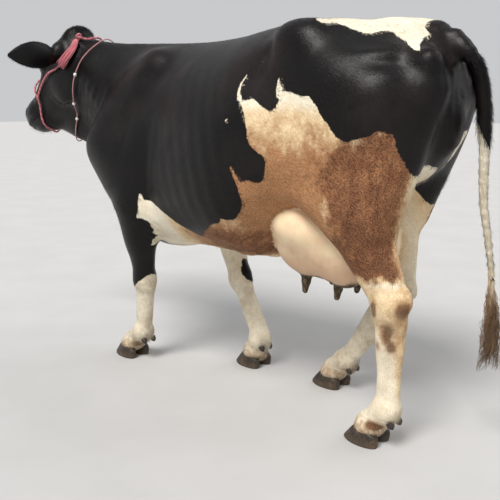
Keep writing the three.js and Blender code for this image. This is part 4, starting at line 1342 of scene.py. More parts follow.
    def read(self, p: Array, bag: Array | float = 0.0) -> dict[str, Array]:
        """The painted values at points of the skin.

        Args:
            p: Points in the drawing frame.
            bag: How much each point belongs to the udder.

        Returns:
            One array per painted value, named as the materials read them.
        """
        x, y, z = p.T
        q = HEAD.to_head(p)
        head = HEAD.share(p, q)
        wobble = wave(p, 3, 130)
        broad = wave(p, 5, 420)
        tail = self.on_tail(p).astype(float)
        bag = np.zeros(len(p)) + bag
        teat = ease(570, 552, z + 5 * wobble) * bag * (np.abs(x) < 120)
        # tan of the flank, and tan under the belly that is painted shade
        flank = 0.32 * ease(1200, 1080, z) + 0.68 * ease(1120, 970, z + 26 * wobble)
        flank = ease(96, 160, y) * flank * ease(600, 660, z)
        under = ease(-330, -120, y) * ease(700, 560, y) * ease(860, 700, z) * ease(560, 630, z)
        outside = ease(150, 205, np.abs(x)) * ease(560, 640, z)
        inner = (1 - outside) * ease(470, 560, y)
        fringe = bell(p, (165, 722, 760), (46, 34, 130))
        tone = np.maximum(flank * np.maximum(outside, ease(470, 400, y)), under * 0.8 * (1 - inner))
        # brown of the thigh behind its front edge, and brown along the belly that is painted shade
        edge = 486 + 84 * ease(990, 1066, z) + 26 * ease(900, 800, z) + 30 * wobble
        thigh = ease(edge - 95, edge + 70, y) * ease(1190, 1120, z) * ease(576, 652, z + 26 * wave(p, 8, 52))
        hairy = thigh * outside * (1 - fringe)
        hairy = np.maximum(hairy, 0.8 * under * ease(-160, -20, y) * ease(330, 200, y) * ease(760, 690, z))
        # paler and golden places in both
        glow = bell(p, (285, 500, 850), (60, 22, 36)) + 0.7 * bell(p, (286, 492, 805), (60, 14, 56))
        gold = bell(p, (230, 690, 1105), (120, 60, 45)) + bell(p, (250, 622, 1010), (120, 52, 48))
        gold = np.minimum(gold + 0.6 * bell(p, (250, 600, 885), (120, 130, 30)), 1) * (x > 0)
        # faint tan on the left hind leg and between the thighs
        leg = ease(640, 560, z)
        tendon = ease(710, 752, y) * ease(160, 240, z) * ease(700, 600, z) * (x > 0)
        tone = np.maximum(tone, leg * np.maximum(0.04 * (x > 0) * (y > 400), 0.45 * tendon))
        tone = np.maximum(tone, 0.17 * (x > 0) * ease(380, 500, z) * leg * (y > 400))
        between = ease(560, 640, y) * (1 - outside) * (1 - tail)
        tone = np.maximum(tone, 0.17 * between * ease(600, 660, z) * ease(980, 820, z))
        glow = np.minimum(glow, 1)
        tone = tone * (1 - bag) * (1 - 0.5 * glow)
        hairy = hairy * (1 - bag) * (1 - 0.45 * np.maximum(glow, 0.7 * gold))
        # deeper brown, spots of the legs, and dirt that thickens downwards, which on the legs is also painted shade
        dark = bell(p, (250, 540, 1052), (120, 66, 52)) + bell(p, (200, 790, 950), (140, 62, 110))
        dark += bell(p, (220, 668, 690), (120, 100, 95)) + 0.7 * bell(p, (250, 560, 800), (120, 75, 80))
        deep = thigh * (1 - bag) * (dark + 0.25) * (0.85 + 0.3 * wobble)
        spots = np.zeros(len(p))
        for at, size in self.spots:
            spots = np.maximum(spots, bell(p, at, size) * (0.95 + 0.4 * wobble))
        hem = ease(130, 92, z + 12 * wobble) * 0.4
        dirt_and_shade = np.clip(0.16 + 0.22 * broad + 0.2 * wobble, 0, 1) * ease(700, 560, z)
        # stronger on every leg but the left hind one: dirt, and painted shade there
        soiled_and_shaded = ((y < 560) | (x < 0)) * (1 - tail)
        dirt_and_shade = np.maximum(dirt_and_shade, (0.50 + 0.2 * wobble) * ease(560, 480, z) * soiled_and_shaded)
        dirt_and_shade = np.maximum(dirt_and_shade, 0.42 * tail * ease(1150, 700, z))
        muzzle = ease(438, 476, q[:, 0] + 0.25 * np.abs(q[:, 1] - 120)) * head
        shares = {
            "tone": tone,
            "hairy": hairy,
            "spots": np.maximum(spots, hem),
            "grime_and_shade": dirt_and_shade * (1 - bag),
            # the udder's skin darker towards its bottom is painted shade
            "deep": deep + bag * ease(700, 590, z + 20 * wobble),
            "bare": np.maximum(bag, muzzle),
            "teat": teat,
            "pit": self.pit(q) * head,
            "leg": ease(660, 520, z),
            "face": head,
            # rusty brown on the upper body: hair faded by the light, and a painted sheen
            "rust_and_sheen": ease(760, 1250, z) * (0.55 + 0.5 * broad) * ease(-1000, -500, y),
        }
        return {"mark": self.pale(p) / 1000} | {name: np.clip(v, 0, 1) for name, v in shares.items()}

    @staticmethod
    def pit(q: Array) -> Array:
        """Depth of shade in nostrils and mouth, from head coordinates."""
        slit, lip = Relief.openings(q)
        return np.maximum(ease(12.5, 8, slit), ease(3.4, 1.2, lip) * ease(398, 420, q[:, 0]))


def lie_of_coat(p: Array, n: Array) -> Array:
    """Which way the hair lies, as unit vectors along the skin.

    Args:
        p: Points in the drawing frame.
        n: Outward normals there.

    Returns:
        Directions from root to tip.
    """
    x, y, z = p.T
    q = HEAD.to_head(p)
    head = HEAD.share(p, q)[:, None]
    neck = ease(-620, -820, y)[:, None]
    thigh = (ease(300, 520, y) * ease(1300, 1120, z))[:, None]
    leg = ease(700, 540, z)[:, None]
    spread = np.sign(x) * np.minimum(np.abs(x) / 120, 1)
    out = np.stack([0.25 * spread, np.full(len(p), 0.86), np.full(len(p), -0.5)], axis=1)
    out = out * (1 - neck) + neck * np.array([0, 0.64, -0.77])
    out = out * (1 - thigh) + thigh * np.array([0, 0.26, -0.96])
    out = out * (1 - leg) + leg * np.array([0, 0.12, -1.0])
    down_face = np.where(q[:, :1] > 62, 1.0, -0.8) * HEAD.axes[0] + 0.35 * HEAD.axes[1]
    out = out * (1 - head) + head * down_face
    from_whorl = np.stack([0 * x, y - 236, z - 1178], axis=1)
    whorl = hump(np.linalg.norm(from_whorl, axis=1, keepdims=True), 80) * (np.abs(x) > 150)[:, None]
    out = out * (1 - whorl) + whorl * unit(from_whorl) * 1.2
    out = out + 0.16 * np.stack([wave(p, 21, 90, 2), wave(p, 22, 90, 2), wave(p, 23, 90, 2)], axis=1)
    out = out - n * (out * n).sum(axis=1, keepdims=True)
    return unit(out)


# ---------------------------------------------------------------- meshes from arrays
class Place:
    """Moves drawing millimetres to the frame's metres."""

    def __init__(self) -> None:
        """Reads the offset from the left eye's box."""
        low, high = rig.box("eye_left")
        self.shift = np.array((low + high) / 2) - EYE.centre(1) / 1000

    def metres(self, p: Array) -> Array:
        """Drawing points in the frame."""
        return np.asarray(p) / 1000 + self.shift


DRAWING = Place()


def linked(name: str, data: bpy.types.ID) -> bpy.types.Object:
    """A new object with its data, linked to the scene.

    Args:
        name: Name of the object.
        data: Its mesh, light or camera.

    Returns:
        The object.
    """
    piece = bpy.data.objects.new(name, data)
    bpy.context.scene.collection.objects.link(piece)
    return piece


def fetch(items: object, name: str, width: int = 1, kind: type = float) -> Array:
    """Reads one property of all of a mesh's points, faces or corners, in rows if it is wide.

    Args:
        items: The mesh's points, faces or corners.
        name: Name of the property.
        width: How many numbers each has.
        kind: Type of the numbers.

    Returns:
        The numbers.
    """
    out = np.zeros(len(items) * width, kind)
    items.foreach_get(name, out)
    return out.reshape(-1, width) if width > 1 else out


def mesh_object(name: str, points: Array, faces: Array, values: dict[str, Array] | None = None,
                uv: Array | None = None) -> bpy.types.Object:
    """A smooth-shaded mesh piece from arrays.

    Args:
        name: Name of the piece.
        points: Corners in the frame's metres.
        faces: Faces as rows of corner numbers, all of one length.
        values: Painted values, one array of numbers per name.
        uv: One chart position per face corner, or per point.

    Returns:
        The new object, linked to the scene.
    """
    mesh = bpy.data.meshes.new(name)
    faces = np.asarray(faces, dtype=np.int32)
    count, sides = faces.shape
    mesh.vertices.add(len(points))
    mesh.vertices.foreach_set("co", np.asarray(points, dtype=np.float32).ravel())
    mesh.loops.add(count * sides)
    mesh.loops.foreach_set("vertex_index", faces.ravel())
    mesh.polygons.add(count)
    mesh.polygons.foreach_set("loop_start", np.arange(0, count * sides, sides, dtype=np.int32))
    mesh.update(calc_edges=True)
    mesh.shade_smooth()
    paint(mesh, values or {})
    if uv is not None:
        chart(mesh, uv[faces.ravel()] if len(uv) == len(points) else uv)
    mesh.validate()
    return linked(name, mesh)


def paint(mesh: bpy.types.Mesh, values: dict[str, Array]) -> None:
    """Stores painted values on a mesh's corners.

    Args:
        mesh: The mesh.
        values: By name, a number for each corner.
    """
    for name, value in values.items():
        layer = mesh.attributes.new(name, "FLOAT", "POINT")
        layer.data.foreach_set("value", np.asarray(value, dtype=np.float32))


def chart(mesh: bpy.types.Mesh, uv: Array) -> None:
    """Stores chart positions, one per face corner, as the map that the finishes are read off by."""
    layer = mesh.uv_layers.new(name="OFBake")
    layer.data.foreach_set("uv", np.asarray(uv, dtype=np.float32).ravel())


def finish_piece(
    piece: bpy.types.Object, material: bpy.types.Material, slot: str, *nodes: str
) -> bpy.types.Object:
    """Dresses a piece, rides it on the body and lets it stand for solids.

    Args:
        piece: The object.
        material: Its finish.
        slot: The record's material slot.
        nodes: Solids that it stands for.

    Returns:
        The same object.
    """
    piece.data.materials.clear()
    piece.data.materials.append(material)
    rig.ride(piece, "root")
    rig.slot(piece, slot)
    if nodes:
        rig.replaces(piece, *nodes)
    faces = sum(len(f.vertices) - 2 for f in piece.data.polygons)
    log.info("%s: %d triangles", piece.name, faces)
    return piece


class Pile:
    """Gathers blocks of mesh that become one piece."""

    def __init__(self) -> None:
        """Starts with nothing."""
        self.points: list[Array] = []
        self.faces: list[Array] = []
        self.uv: list[Array] = []
        self.values: list[dict[str, Array]] = []
        self.total = 0

    def add(self, points: Array, faces: Array, uv: Array, values: dict[str, Array]) -> None:
        """Adds a block in metres, whose faces count from its own first point.

        Args:
            points: The block's points, in metres.
            faces: Its faces, from its own first point on.
            uv: A chart place for each point.
            values: Painted values, by name.
        """
        self.points.append(points)
        self.faces.append(faces + self.total)
        self.uv.append(uv)
        self.values.append(values)
        self.total += len(points)

    def build(self, name: str) -> bpy.types.Object:
        """Makes the piece."""
        values = {key: np.concatenate([v[key] for v in self.values]) for key in self.values[0]}
        return mesh_object(name, np.vstack(self.points), np.vstack(self.faces), values, np.vstack(self.uv))


def prism(rows: int) -> list:
    """The sides of a three-sided shaft between rows of corners, as triangles.

    Args:
        rows: How many bands of faces it has.

    Returns:
        Three corner numbers for each triangle.
    """
    pattern = []
    for row in range(rows):
        for k in range(3):
            a, b = row * 3 + k, row * 3 + (k + 1) % 3
            pattern += [[a, b, b + 3], [a, b + 3, a + 3]]
    return pattern


def repeated(pattern: list, count: int, size: int) -> Array:
    """The same triangles on each of a count of blocks with a size of corners each."""
    return (np.arange(count)[:, None, None] * size + np.array(pattern)[None]).reshape(-1, 3)


class Charts:
    """Lays a skin out flat: one chart per part of the body and side that it faces."""

    gap = 0.012

    @staticmethod
    def part_of(p: Array) -> Array:
        """Number of the body part that each point belongs to.

        Args:
            p: Points in the drawing frame, N by 3.

        Returns:
            A number for each point.
        """
        x, y, z = p.T
        part = np.digitize(y, [-700.0, -200.0, 330.0])
        for i, leg in enumerate(LEGS):
            line = [leg.elbow or leg.stifle, leg.joint, leg.fetlock, leg.coronet - [0, 0, 60]]
            near, _ = polyline_distance(p, np.array(line, dtype=float))
            part = np.where((z < 620) & (near < 118), 4 + i, part)
        bag = (np.abs(x) < 140) & (z < 640) & (y > 60) & (y < 640) & (part < 4)
        part = np.where(bag, 8, part)
        part = np.where(Markings.on_tail(p), 9, part)
        return np.where(HEAD.holds(p, HEAD.to_head(p)), 10, part)

    def unwrap(self, mesh: bpy.types.Mesh, given: Array) -> None:
        """Gives a mesh its OFBake map.

        Args:
            mesh: The mesh.
            given: A part number for each face, or -1 where its place decides.
        """
        centre, normal = (fetch(mesh.polygons, name, 3) for name in ("center", "normal"))
        sides = fetch(mesh.polygons, "loop_total", kind=int)
        corner = fetch(mesh.loops, "vertex_index", kind=int)
        co = fetch(mesh.vertices, "co", 3)
        axis = np.abs(normal * [1.0, 0.9, 1.0]).argmax(axis=1)
        facing = normal[np.arange(len(normal)), axis] > 0
        p = (centre - DRAWING.shift) * 1000
        part = np.where(given >= 0, given, self.part_of(p))
        inward = (axis == 0) & (part < 4) & ((p[:, 0] > 0) != facing)
        key = ((part * 3 + axis) * 2 + facing) * 2 + inward
        loop_key = np.repeat(key, sides)
        loop_axis = np.repeat(axis, sides)
        flat = np.where((loop_axis == 0)[:, None], co[corner][:, [1, 2]], co[corner][:, [0, 2]])
        flat = np.where((loop_axis == 2)[:, None], co[corner][:, [0, 1]], flat)
        boxes = []
        for k in np.unique(loop_key):
            mine = loop_key == k
            low, high = flat[mine].min(axis=0), flat[mine].max(axis=0)
            boxes.append((high[1] - low[1], high[0] - low[0], int(k), low))
        boxes.sort(key=lambda b: -b[0])
        area = sum((b[0] + self.gap) * (b[1] + self.gap) for b in boxes)
        best = None
        for share in np.linspace(1.0, 1.5, 21):
            width = math.sqrt(area) * share
            at, x, y, row = {}, 0.0, 0.0, 0.0
            for height, length, k, low in boxes:
                if x and x + length + self.gap > width:
                    x, y, row = 0.0, y + row, 0.0
                at[k] = (x + self.gap / 2 - low[0], y + self.gap / 2 - low[1])
                x += length + self.gap
                row = max(row, height + self.gap)
            size = max(width, y + row)
            if best is None or size < best[0]:
                best = (size, at)
        size, at = best
        for k, (dx, dy) in at.items():
            flat[loop_key == k] += (dx, dy)
        chart(mesh, flat / size)


# ---------------------------------------------------------------- skin with ears and lids
def grid_faces(rows: int, columns: int, start: int = 0, endless: bool = True) -> Array:
    """Quads over rows of points, rows by columns, that run round on themselves if endless.

    Args:
        rows: How many rows there are.
        columns: How many points a row has.
        start: Number of the first point.
        endless: Whether each row closes on itself.

    Returns:
        Four point numbers for each quad.
    """
    r, c = np.meshgrid(np.arange(rows - 1), np.arange(columns if endless else columns - 1), indexing="ij")
    a = start + r * columns + c
    b = start + r * columns + (c + 1) % columns
    return np.stack([a, b, b + columns, a + columns], axis=-1).reshape(-1, 4)


class EarSkin:
    """The closed skin of one ear, with the ridges inside its cup."""

    rows = 34
    columns = 18
    coat = 0.9

    def build(self, side: int) -> tuple[Array, list, Array]:
        """Builds one ear.

        Args:
            side: 1 for the left ear.

        Returns:
            Points, faces, and how far each point lies inside the cup, 0 to 1.
        """
        k = np.linspace(-1, 1, self.columns)
        points, cup = [], []
        for t in 1 - (1 - np.linspace(-0.03, 1, self.rows)) ** 1.15:
            share = np.full(self.columns, t)
            breadth = station_curve(np.array(EAR.rows, float), share)[:, 1]
            thick = np.minimum(EAR.thickness, breadth * 0.4)
            half = (thick / 2 - self.coat) * np.sqrt(np.maximum(1 - k**4, 0)) * (1 if t < 1 else 0.3)
            ridge = 1.5 * np.sin(k * 8.5) * np.maximum(t * (1 - t) * 4, 0) * (1 - k * k)
            turn = k * (1 + 0.012 * np.sin(t * 23 + side))
            points.append(EAR.point(side, share, turn, thick / 2 - half))
            points.append(EAR.point(side, share, turn, thick / 2 + half + ridge)[::-1])
            cup += [np.zeros(self.columns), (1 - k * k)[::-1]]
        tip = points[-1].mean(axis=0) + [side * 3.0, 0, 0]
        ring = 2 * self.columns
        faces = grid_faces(self.rows, ring).tolist()
        last = (self.rows - 1) * ring
        total = self.rows * ring
        faces += [[last + i, last + (i + 1) % ring, total] for i in range(ring)]
        faces += [list(range(ring))[::-1]]
        if side < 0:
            faces = [f[::-1] for f in faces]
        return np.vstack(points + [tip[None]]), faces, np.concatenate(cup + [np.zeros(1)])


class Lids:
    """The skin round one eye: two lids that close over the ball, with a crease above and below."""

    columns = 72
    steps = 18
    margin = 3.1

    def axes(self, side: int) -> Array:
        """The eye's axes as rows: along the slit to the nose, up, and outwards.

        Args:
            side: 1 for the left eye, -1 for the right.

        Returns:
            Three unit vectors.
        """
        basis = HEAD.axes * np.array([[1], [1], [side]])
        out = unit(np.array(EYE.look) @ basis)
        along = basis[0] * 0.97 - basis[1] * 0.18
        along = unit(along - out * (along @ out))
        up = np.cross(out, along)
        up = up if up @ basis[1] < 0 else -up
        return np.stack([along, up, out])

    def slit(self, a: Array) -> tuple[Array, Array]:
        """The opening's outline, in the eye's along and up axes.

        Args:
            a: Angles round the opening, from the nose's side on.

        Returns:
            The two coordinates.
        """
        s, c = np.sin(a), np.cos(a)
        rise = np.where(s > 0, EYE.upper, EYE.lower)
        return EYE.half_length * c, rise * np.sign(s) * np.abs(s) ** 1.12 - 1.2 * c

    def build(self, side: int, skin: Skin) -> tuple[Array, list]:
        """Builds the patch of one eye, whose outer edge dips under the skin.

        Args:
            side: 1 for the left eye.
            skin: The skin that it joins.

        Returns:
            Points and faces.
        """
        axes, centre = self.axes(side), EYE.centre(side)
        a = np.linspace(0, math.tau, self.columns, endpoint=False)
        x0, y0 = self.slit(a)
        rings = []
        for share, radius in ((0.93, EYE.radius - 0.4), (0.965, EYE.radius + 1.0), (0.985, EYE.radius + 2.2)):
            height = np.sqrt(np.maximum(radius**2 - (x0**2 + y0**2) * share**2, 1))
            rings.append(centre + np.stack([x0 * share, y0 * share, height], axis=1) @ axes)
        for i in range(self.steps):
            s = (i / (self.steps - 1)) ** 1.3
            x, y = x0 * (1 + 1.25 * s), y0 * (1 + 2.3 * s)
            away = np.abs(y - y0)
            upper = y0 > 0
            crease = np.where(upper, 1.7 * hump(away - 8.5, 1.9), 1.2 * hump(away - 6, 1.7))
            fold = np.where(upper, 1.5 * hump(away - 4.2, 3.0), 0.8 * hump(away - 3, 2.4))
            sink = 5.0 if i == self.steps - 1 else 0.0
            flat = centre + np.stack([x, y, np.zeros_like(x)], axis=1) @ axes
            height = np.full(self.columns, 44.0)
            for _ in range(34):
                p = flat + height[:, None] * axes[2]
                ball = np.linalg.norm(p - centre, axis=1) - EYE.radius - self.margin
                gap = blend_min(ball, skin.level(p) - 1.1 * (1 - s), 9.0) + crease - fold + sink
                height -= gap * 0.75
            rings.append(flat + height[:, None] * axes[2])
        faces = grid_faces(len(rings), self.columns)
        if side < 0:
            faces = faces[:, ::-1]
        return np.vstack(rings), faces.tolist()


class Hide:
    """The whole skin as one piece: body, ears and lids, charted and painted."""

    def __init__(self, skin: Skin) -> None:
        """Takes the skin that it is made from."""
        self.skin = skin

    def build(self) -> bpy.types.Object:
        """Builds the piece, in metres.

        Returns:
            The piece.
        """
        points, faces = self.skin.build()
        log.info("net: %d points, %d faces", len(points), len(faces))
        values = Markings().read(points, self.skin.udder_share(points))
        values["lid"] = np.zeros(len(points))
        parts = [np.full(len(faces), -1)]
        shape = [points]
        total = len(points)
        for side in (1, -1):
            ear, ear_faces, cup = EarSkin().build(side)
            lids, lid_faces = Lids().build(side, self.skin)
            for number, (more, more_faces) in enumerate(((ear, ear_faces), (lids, lid_faces))):
                faces += [[i + total for i in f] for f in more_faces]
                total += len(more)
                shape.append(more)
                parts.append(np.full(len(more_faces), 11 + number * 2 + (side < 0)))
                extra = Markings().read(more)
                plain = dict.fromkeys(("tone", "hairy", "spots", "grime_and_shade", "teat", "pit", "deep"), 0.0)
                plain |= {"mark": -0.08, "face": 1.0, "lid": float(number)}
                extra |= {name: np.full(len(more), value) for name, value in plain.items()}
                wet = np.clip(1 - np.arange(len(more)) // Lids.columns / 5, 0, 1)
                extra["bare"] = wet if number else cup * 0.5
                values = {name: np.concatenate([value, extra[name]]) for name, value in values.items()}
        mesh = bpy.data.meshes.new("skin")
        mesh.from_pydata(DRAWING.metres(np.vstack(shape)).tolist(), [], faces)
        mesh.shade_smooth()
        paint(mesh, values)
        Charts().unwrap(mesh, np.concatenate(parts))
        return linked("skin", mesh)


# ---------------------------------------------------------------- the coat
@dataclass(frozen=True)
class Tuft:
    """Size and bearing of one kind of tuft, in millimetres."""

    length: float
    width: float
    lift: float
    rows: int = 2
    droop: float = 0.0
    sway: float = 0.12
    spread: float = 0.16


class Cover(Enum):
    """The kinds of tuft that the coat is made of."""

    FACE = Tuft(8, 1.5, 0.7)
    BODY = Tuft(17, 2.1, 0.8, sway=0.06, spread=0.09)
    LEG = Tuft(9, 1.6, 0.7)
    RIDGE = Tuft(20, 1.6, 3.0, spread=0.2)
    FRINGE = Tuft(24, 1.3, 5.0, 3, 0.25, 0.2, 0.3)
    POLL = Tuft(24, 1.1, 2.6, 3, 0.0, 0.3, 0.4)
    WHISKER = Tuft(22, 0.6, 13.0, 3, 0.2, 0.1, 0.5)
    EAR = Tuft(14, 0.8, 1.2, 3, 0.05, 0.12, 0.3)
    RIM = Tuft(7, 0.7, 0.8, 3, 0, 0.1, 0.3)
    CHIN = Tuft(15, 0.9, 3, 3, 0.2, 0.2, 0.3)
    HEM = Tuft(18, 1.4, 1.6, 3, 0.0, 0.1, 0.25)
    HEEL = Tuft(22, 1.2, 2.5, 3, 0.5, 0.15, 0.3)
    TAIL = Tuft(20, 2.2, 2.2, 2, 0, 0.1, 0.25)
    TAIL_TOP = Tuft(30, 1.8, 8.0, 3, 0.2, 0.1, 0.3)


@dataclass
class Roots:
    """Where tufts grow: places in metres, skin normals, lie, chart places and painted values."""

    place: Array
    normal: Array
    lie: Array
    uv: Array
    values: dict[str, Array]

    def __len__(self) -> int:
        """How many tufts there are."""
        return len(self.place)


class TuftBed:
    """The skin as triangles that tufts may root in."""

    def __init__(self, piece: bpy.types.Object) -> None:
        """Reads the skin's triangles, chart and painted values.

        Args:
            piece: The finished skin.
        """
        mesh = piece.data
        mesh.calc_loop_triangles()
        self.corner = fetch(mesh.loop_triangles, "vertices", 3, int)
        self.loop = fetch(mesh.loop_triangles, "loops", 3, int)
        self.co, self.normal = (fetch(mesh.vertices, name, 3) for name in ("co", "normal"))
        self.uv = fetch(mesh.uv_layers["OFBake"].data, "uv", 2)
        self.values = {
            layer.name: fetch(layer.data, "value") for layer in mesh.attributes
            if layer.domain == "POINT" and layer.data_type == "FLOAT"
        }
        a, b, c = (self.co[self.corner[:, i]] for i in range(3))
        self.area = np.linalg.norm(np.cross(b - a, c - a), axis=1) / 2
        self.middle = ((a + b + c) / 3 - DRAWING.shift) * 1000
        self.head = HEAD.to_head(self.middle)

    def read(self, name: str) -> Array:
        """A painted value at the middle of each triangle."""
        return self.values[name][self.corner].mean(axis=1)

    def scatter(self, weight: Array, count: int, seed: int) -> Roots:
        """Picks places over the skin.

        Args:
            weight: How thickly tufts grow on each triangle.
            count: How many tufts to place.
            seed: Chooses the scatter.

        Returns:
            The roots.
        """
        rng = np.random.default_rng(seed)
        share = self.area * np.maximum(weight, 0)
        cumulative = np.cumsum(share) / share.sum()
        tri = np.searchsorted(cumulative, (np.arange(count) + rng.uniform(0, 1, count)) / count)
        tri = np.minimum(tri, len(share) - 1)
        r1, r2 = np.sqrt(rng.uniform(0, 1, count)), rng.uniform(0, 1, count)
        bary = np.stack([1 - r1, r1 * (1 - r2), r1 * r2], axis=1)[:, :, None]
        corner = self.corner[tri]
        place = (self.co[corner] * bary).sum(axis=1)
        normal = unit((self.normal[corner] * bary).sum(axis=1))
        uv = (self.uv[self.loop[tri]] * bary).sum(axis=1)
        values = {name: (value[corner] * bary[:, :, 0]).sum(axis=1) for name, value in self.values.items()}
        lie = lie_of_coat((place - DRAWING.shift) * 1000, normal)
        return Roots(place, normal, lie, uv, values)


class Coat:
    """Grows tufts on the skin, region by region, as solid blades that follow its lie."""

    patch = 0.003

    def __init__(self, bed: TuftBed, material: bpy.types.Material) -> None:
        """Takes the skin's triangles and the hair's finish."""
        self.bed = bed
        self.material = material

    def blades(self, roots: Roots, tuft: Tuft, seed: int) -> tuple:
        """Makes one thin closed blade at each root.

        Args:
            roots: Where the tufts grow.
            tuft: Their kind.
            seed: Chooses their small differences.

        Returns:
            Points, triangles, a chart place per point, painted values, and the way each point is lit.
        """
        rng = np.random.default_rng(seed)
        n = len(roots)
        length = tuft.length / 1000 * rng.uniform(0.65, 1.2, n)
        width = tuft.width / 1000 * rng.uniform(0.7, 1.25, n)
        lift = tuft.lift / 1000 * rng.uniform(0.3, 1.3, n)
        side = np.cross(roots.normal, roots.lie)
        turn = rng.normal(0, tuft.spread, n)[:, None]
        lie = unit(roots.lie + side * turn)
        side = np.cross(roots.normal, lie)
        sway = (rng.normal(0, tuft.sway, n) * length)[:, None]
        rings = []
        glint = unit(roots.normal + side * rng.normal(0, 0.13, n)[:, None] + lie * 0.10)
        for row in range(tuft.rows):
            t = row / tuft.rows
            centre = roots.place + lie * (length * t)[:, None] + side * sway * t * t
            centre += roots.normal * (lift * t**0.8 - 0.0010 * (1 - t))[:, None]
            centre[:, 2] -= tuft.droop * length * t * t
            half = (width * (0.5 if row else 0.42) * (1 - t) ** 0.5)[:, None]
            rings += [centre - side * half, centre + side * half, centre + roots.normal * half * 0.25]
        tip = roots.place + lie * length[:, None] + side * sway + roots.normal * (lift * 0.9)[:, None]
        tip[:, 2] -= tuft.droop * length
        points = np.stack(rings + [tip], axis=1)
        last = (tuft.rows - 1) * 3
        pattern = [[0, 2, 1]] + prism(tuft.rows - 1)
        pattern += [[last + i, last + (i + 1) % 3, last + 3] for i in range(3)]
        size = tuft.rows * 3 + 1
        faces = repeated(pattern, n, size)
        across = np.array([-0.5, 0.5, 0.0] * tuft.rows + [0.0])
        along = np.array([r / tuft.rows for r in range(tuft.rows) for _ in range(3)] + [1.0])
        uv = roots.uv[:, None, :] + np.stack([across, along - 0.5], axis=1)[None] * self.patch
        values = {name: np.repeat(value, size) for name, value in roots.values.items()}
        values["tip"] = np.tile(along, n)
        values["shade"] = np.repeat(rng.uniform(0, 1, n), size)
        facing = np.repeat(glint, size, axis=0)
        return points.reshape(-1, 3), faces, uv.reshape(-1, 2), values, facing

    def grow(self, name: str, *beds: tuple[Array, int, Tuft]) -> None:
        """Grows one piece of the coat.

        Args:
            name: Name of the piece.
            beds: For each kind of tuft in it, a weight per triangle, how many, and the kind.
        """
        pile, facing = Pile(), []
        for i, (weight, count, tuft) in enumerate(beds):
            seed = sum(map(ord, name)) * 10 + i
            *block, lit = self.blades(self.bed.scatter(weight, count, seed), tuft, seed + 5)
            pile.add(*block)
            facing.append(lit)
        piece = pile.build(name)
        piece.data.normals_split_custom_set_from_vertices(np.vstack(facing).tolist())
        finish_piece(piece, self.material, "coat")

    def build(self) -> None:
        """Grows the whole coat."""
        bed = self.bed
        x, y, z = bed.middle.T
        u, v, w = bed.head.T
        head = HEAD.holds(bed.middle, bed.head).astype(float)
        off_head = 1 - head
        furry = 1 - np.clip(bed.read("bare") * 1.6, 0, 1)
        tail = Markings.on_tail(bed.middle).astype(float)
        high = (z > 620) * off_head * furry * (1 - tail)
        low = (z <= 620) * furry * (1 - tail)
        ear = head * (np.abs(w) > 132) * (u < 140)
        from_eye = np.linalg.norm(np.stack([u, v, np.abs(w)], axis=1) - [EYE.u, EYE.v, EYE.w], axis=1)
        lid = bed.read("lid") > 0.5
        eye = np.where(lid, ease(40, 34, from_eye) < 0.5, np.exp(-((from_eye / 46) ** 10)))
        face = head * furry * (1 - ear) * (1 - eye)
        poll = head * ease(66, 20, u) * ease(96, 50, v) * ease(92, 60, np.abs(w))
        chin = head * ease(340, 400, u) * ease(196, 214, v)
        lips = head * ease(440, 470, u) * ease(128, 150, v)
        self.grow(
            "coat_head", (face * (0.7 + 0.5 * ease(300, 100, u)), 13000, Cover.FACE.value),
            (poll, 1700, Cover.POLL.value), (chin, 300, Cover.CHIN.value), (lips, 150, Cover.WHISKER.value),
        )
        rim = ear * (np.abs(bed.read("bare") - 0.1) < 0.11)
        self.grow(
            "coat_ears", (ear, 5200, Cover.FACE.value), (rim, 1500, Cover.RIM.value),
            (ear * (bed.read("bare") > 0.12), 900, Cover.EAR.value),
        )
        ridge = ease(1380, 1425, z) * high
        keel = high * ease(-300, -500, y) * ease(900, 760, z)
        throat = high * (y < -700) * ease(60, 20, np.abs(x - 20)) * (z < 1100)
        self.grow(
            "coat_neck", (high * (y < -760), 13000, Cover.BODY.value),
            (ridge * (y < -700), 700, Cover.RIDGE.value), (throat, 500, Cover.FRINGE.value),
        )
        for name, side in (("left", x > 0), ("right", x <= 0)):
            front = high * side * (y >= -760) * (y < -180)
            middle = high * side * (y >= -180) * (y < 360)
            rear = high * side * (y >= 360)
            seam = ease(46, 20, np.abs(bed.read("mark")) * 1000)
            self.grow(
                f"coat_shoulder_{name}", (front, 10500, Cover.BODY.value),
                (front * ridge, 260, Cover.RIDGE.value), (front * keel, 260, Cover.FRINGE.value),
            )
            self.grow(
                f"coat_barrel_{name}", (middle * (1 + seam), 11500, Cover.BODY.value),
                (middle * ease(640, 600, z), 200, Cover.FRINGE.value),
                (middle * ridge, 220, Cover.RIDGE.value),
            )
            edge = rear * ease(640, 720, y) * ease(960, 900, z)
            self.grow(
                f"coat_quarter_{name}", (rear * (1 + seam), 11500, Cover.BODY.value),
                (rear * ridge, 260, Cover.RIDGE.value), (edge, 420, Cover.FRINGE.value),
            )
        fore = low * (y < -60)
        hind = low * (y >= -60)
        backs = [np.array(leg.fetlock) + [0, 52, -20] for leg in LEGS]
        behind = np.maximum.reduce([bell(bed.middle, back, (44, 26, 40)) for back in backs])
        for name, mine in (("fore", fore), ("hind", hind)):
            hem = mine * ease(128, 104, z)
            self.grow(
                f"coat_{name}_legs", (mine * (1 + 0.8 * ease(300, 120, z)), 10500, Cover.LEG.value),
                (hem, 1700, Cover.HEM.value), (mine * behind, 620, Cover.HEEL.value),
            )
        self.grow(
            "coat_tail", (tail * (1 + 0.6 * ease(900, 600, z)), 5200, Cover.TAIL.value),
            (tail * ease(1040, 1110, z), 2200, Cover.TAIL_TOP.value),
        )


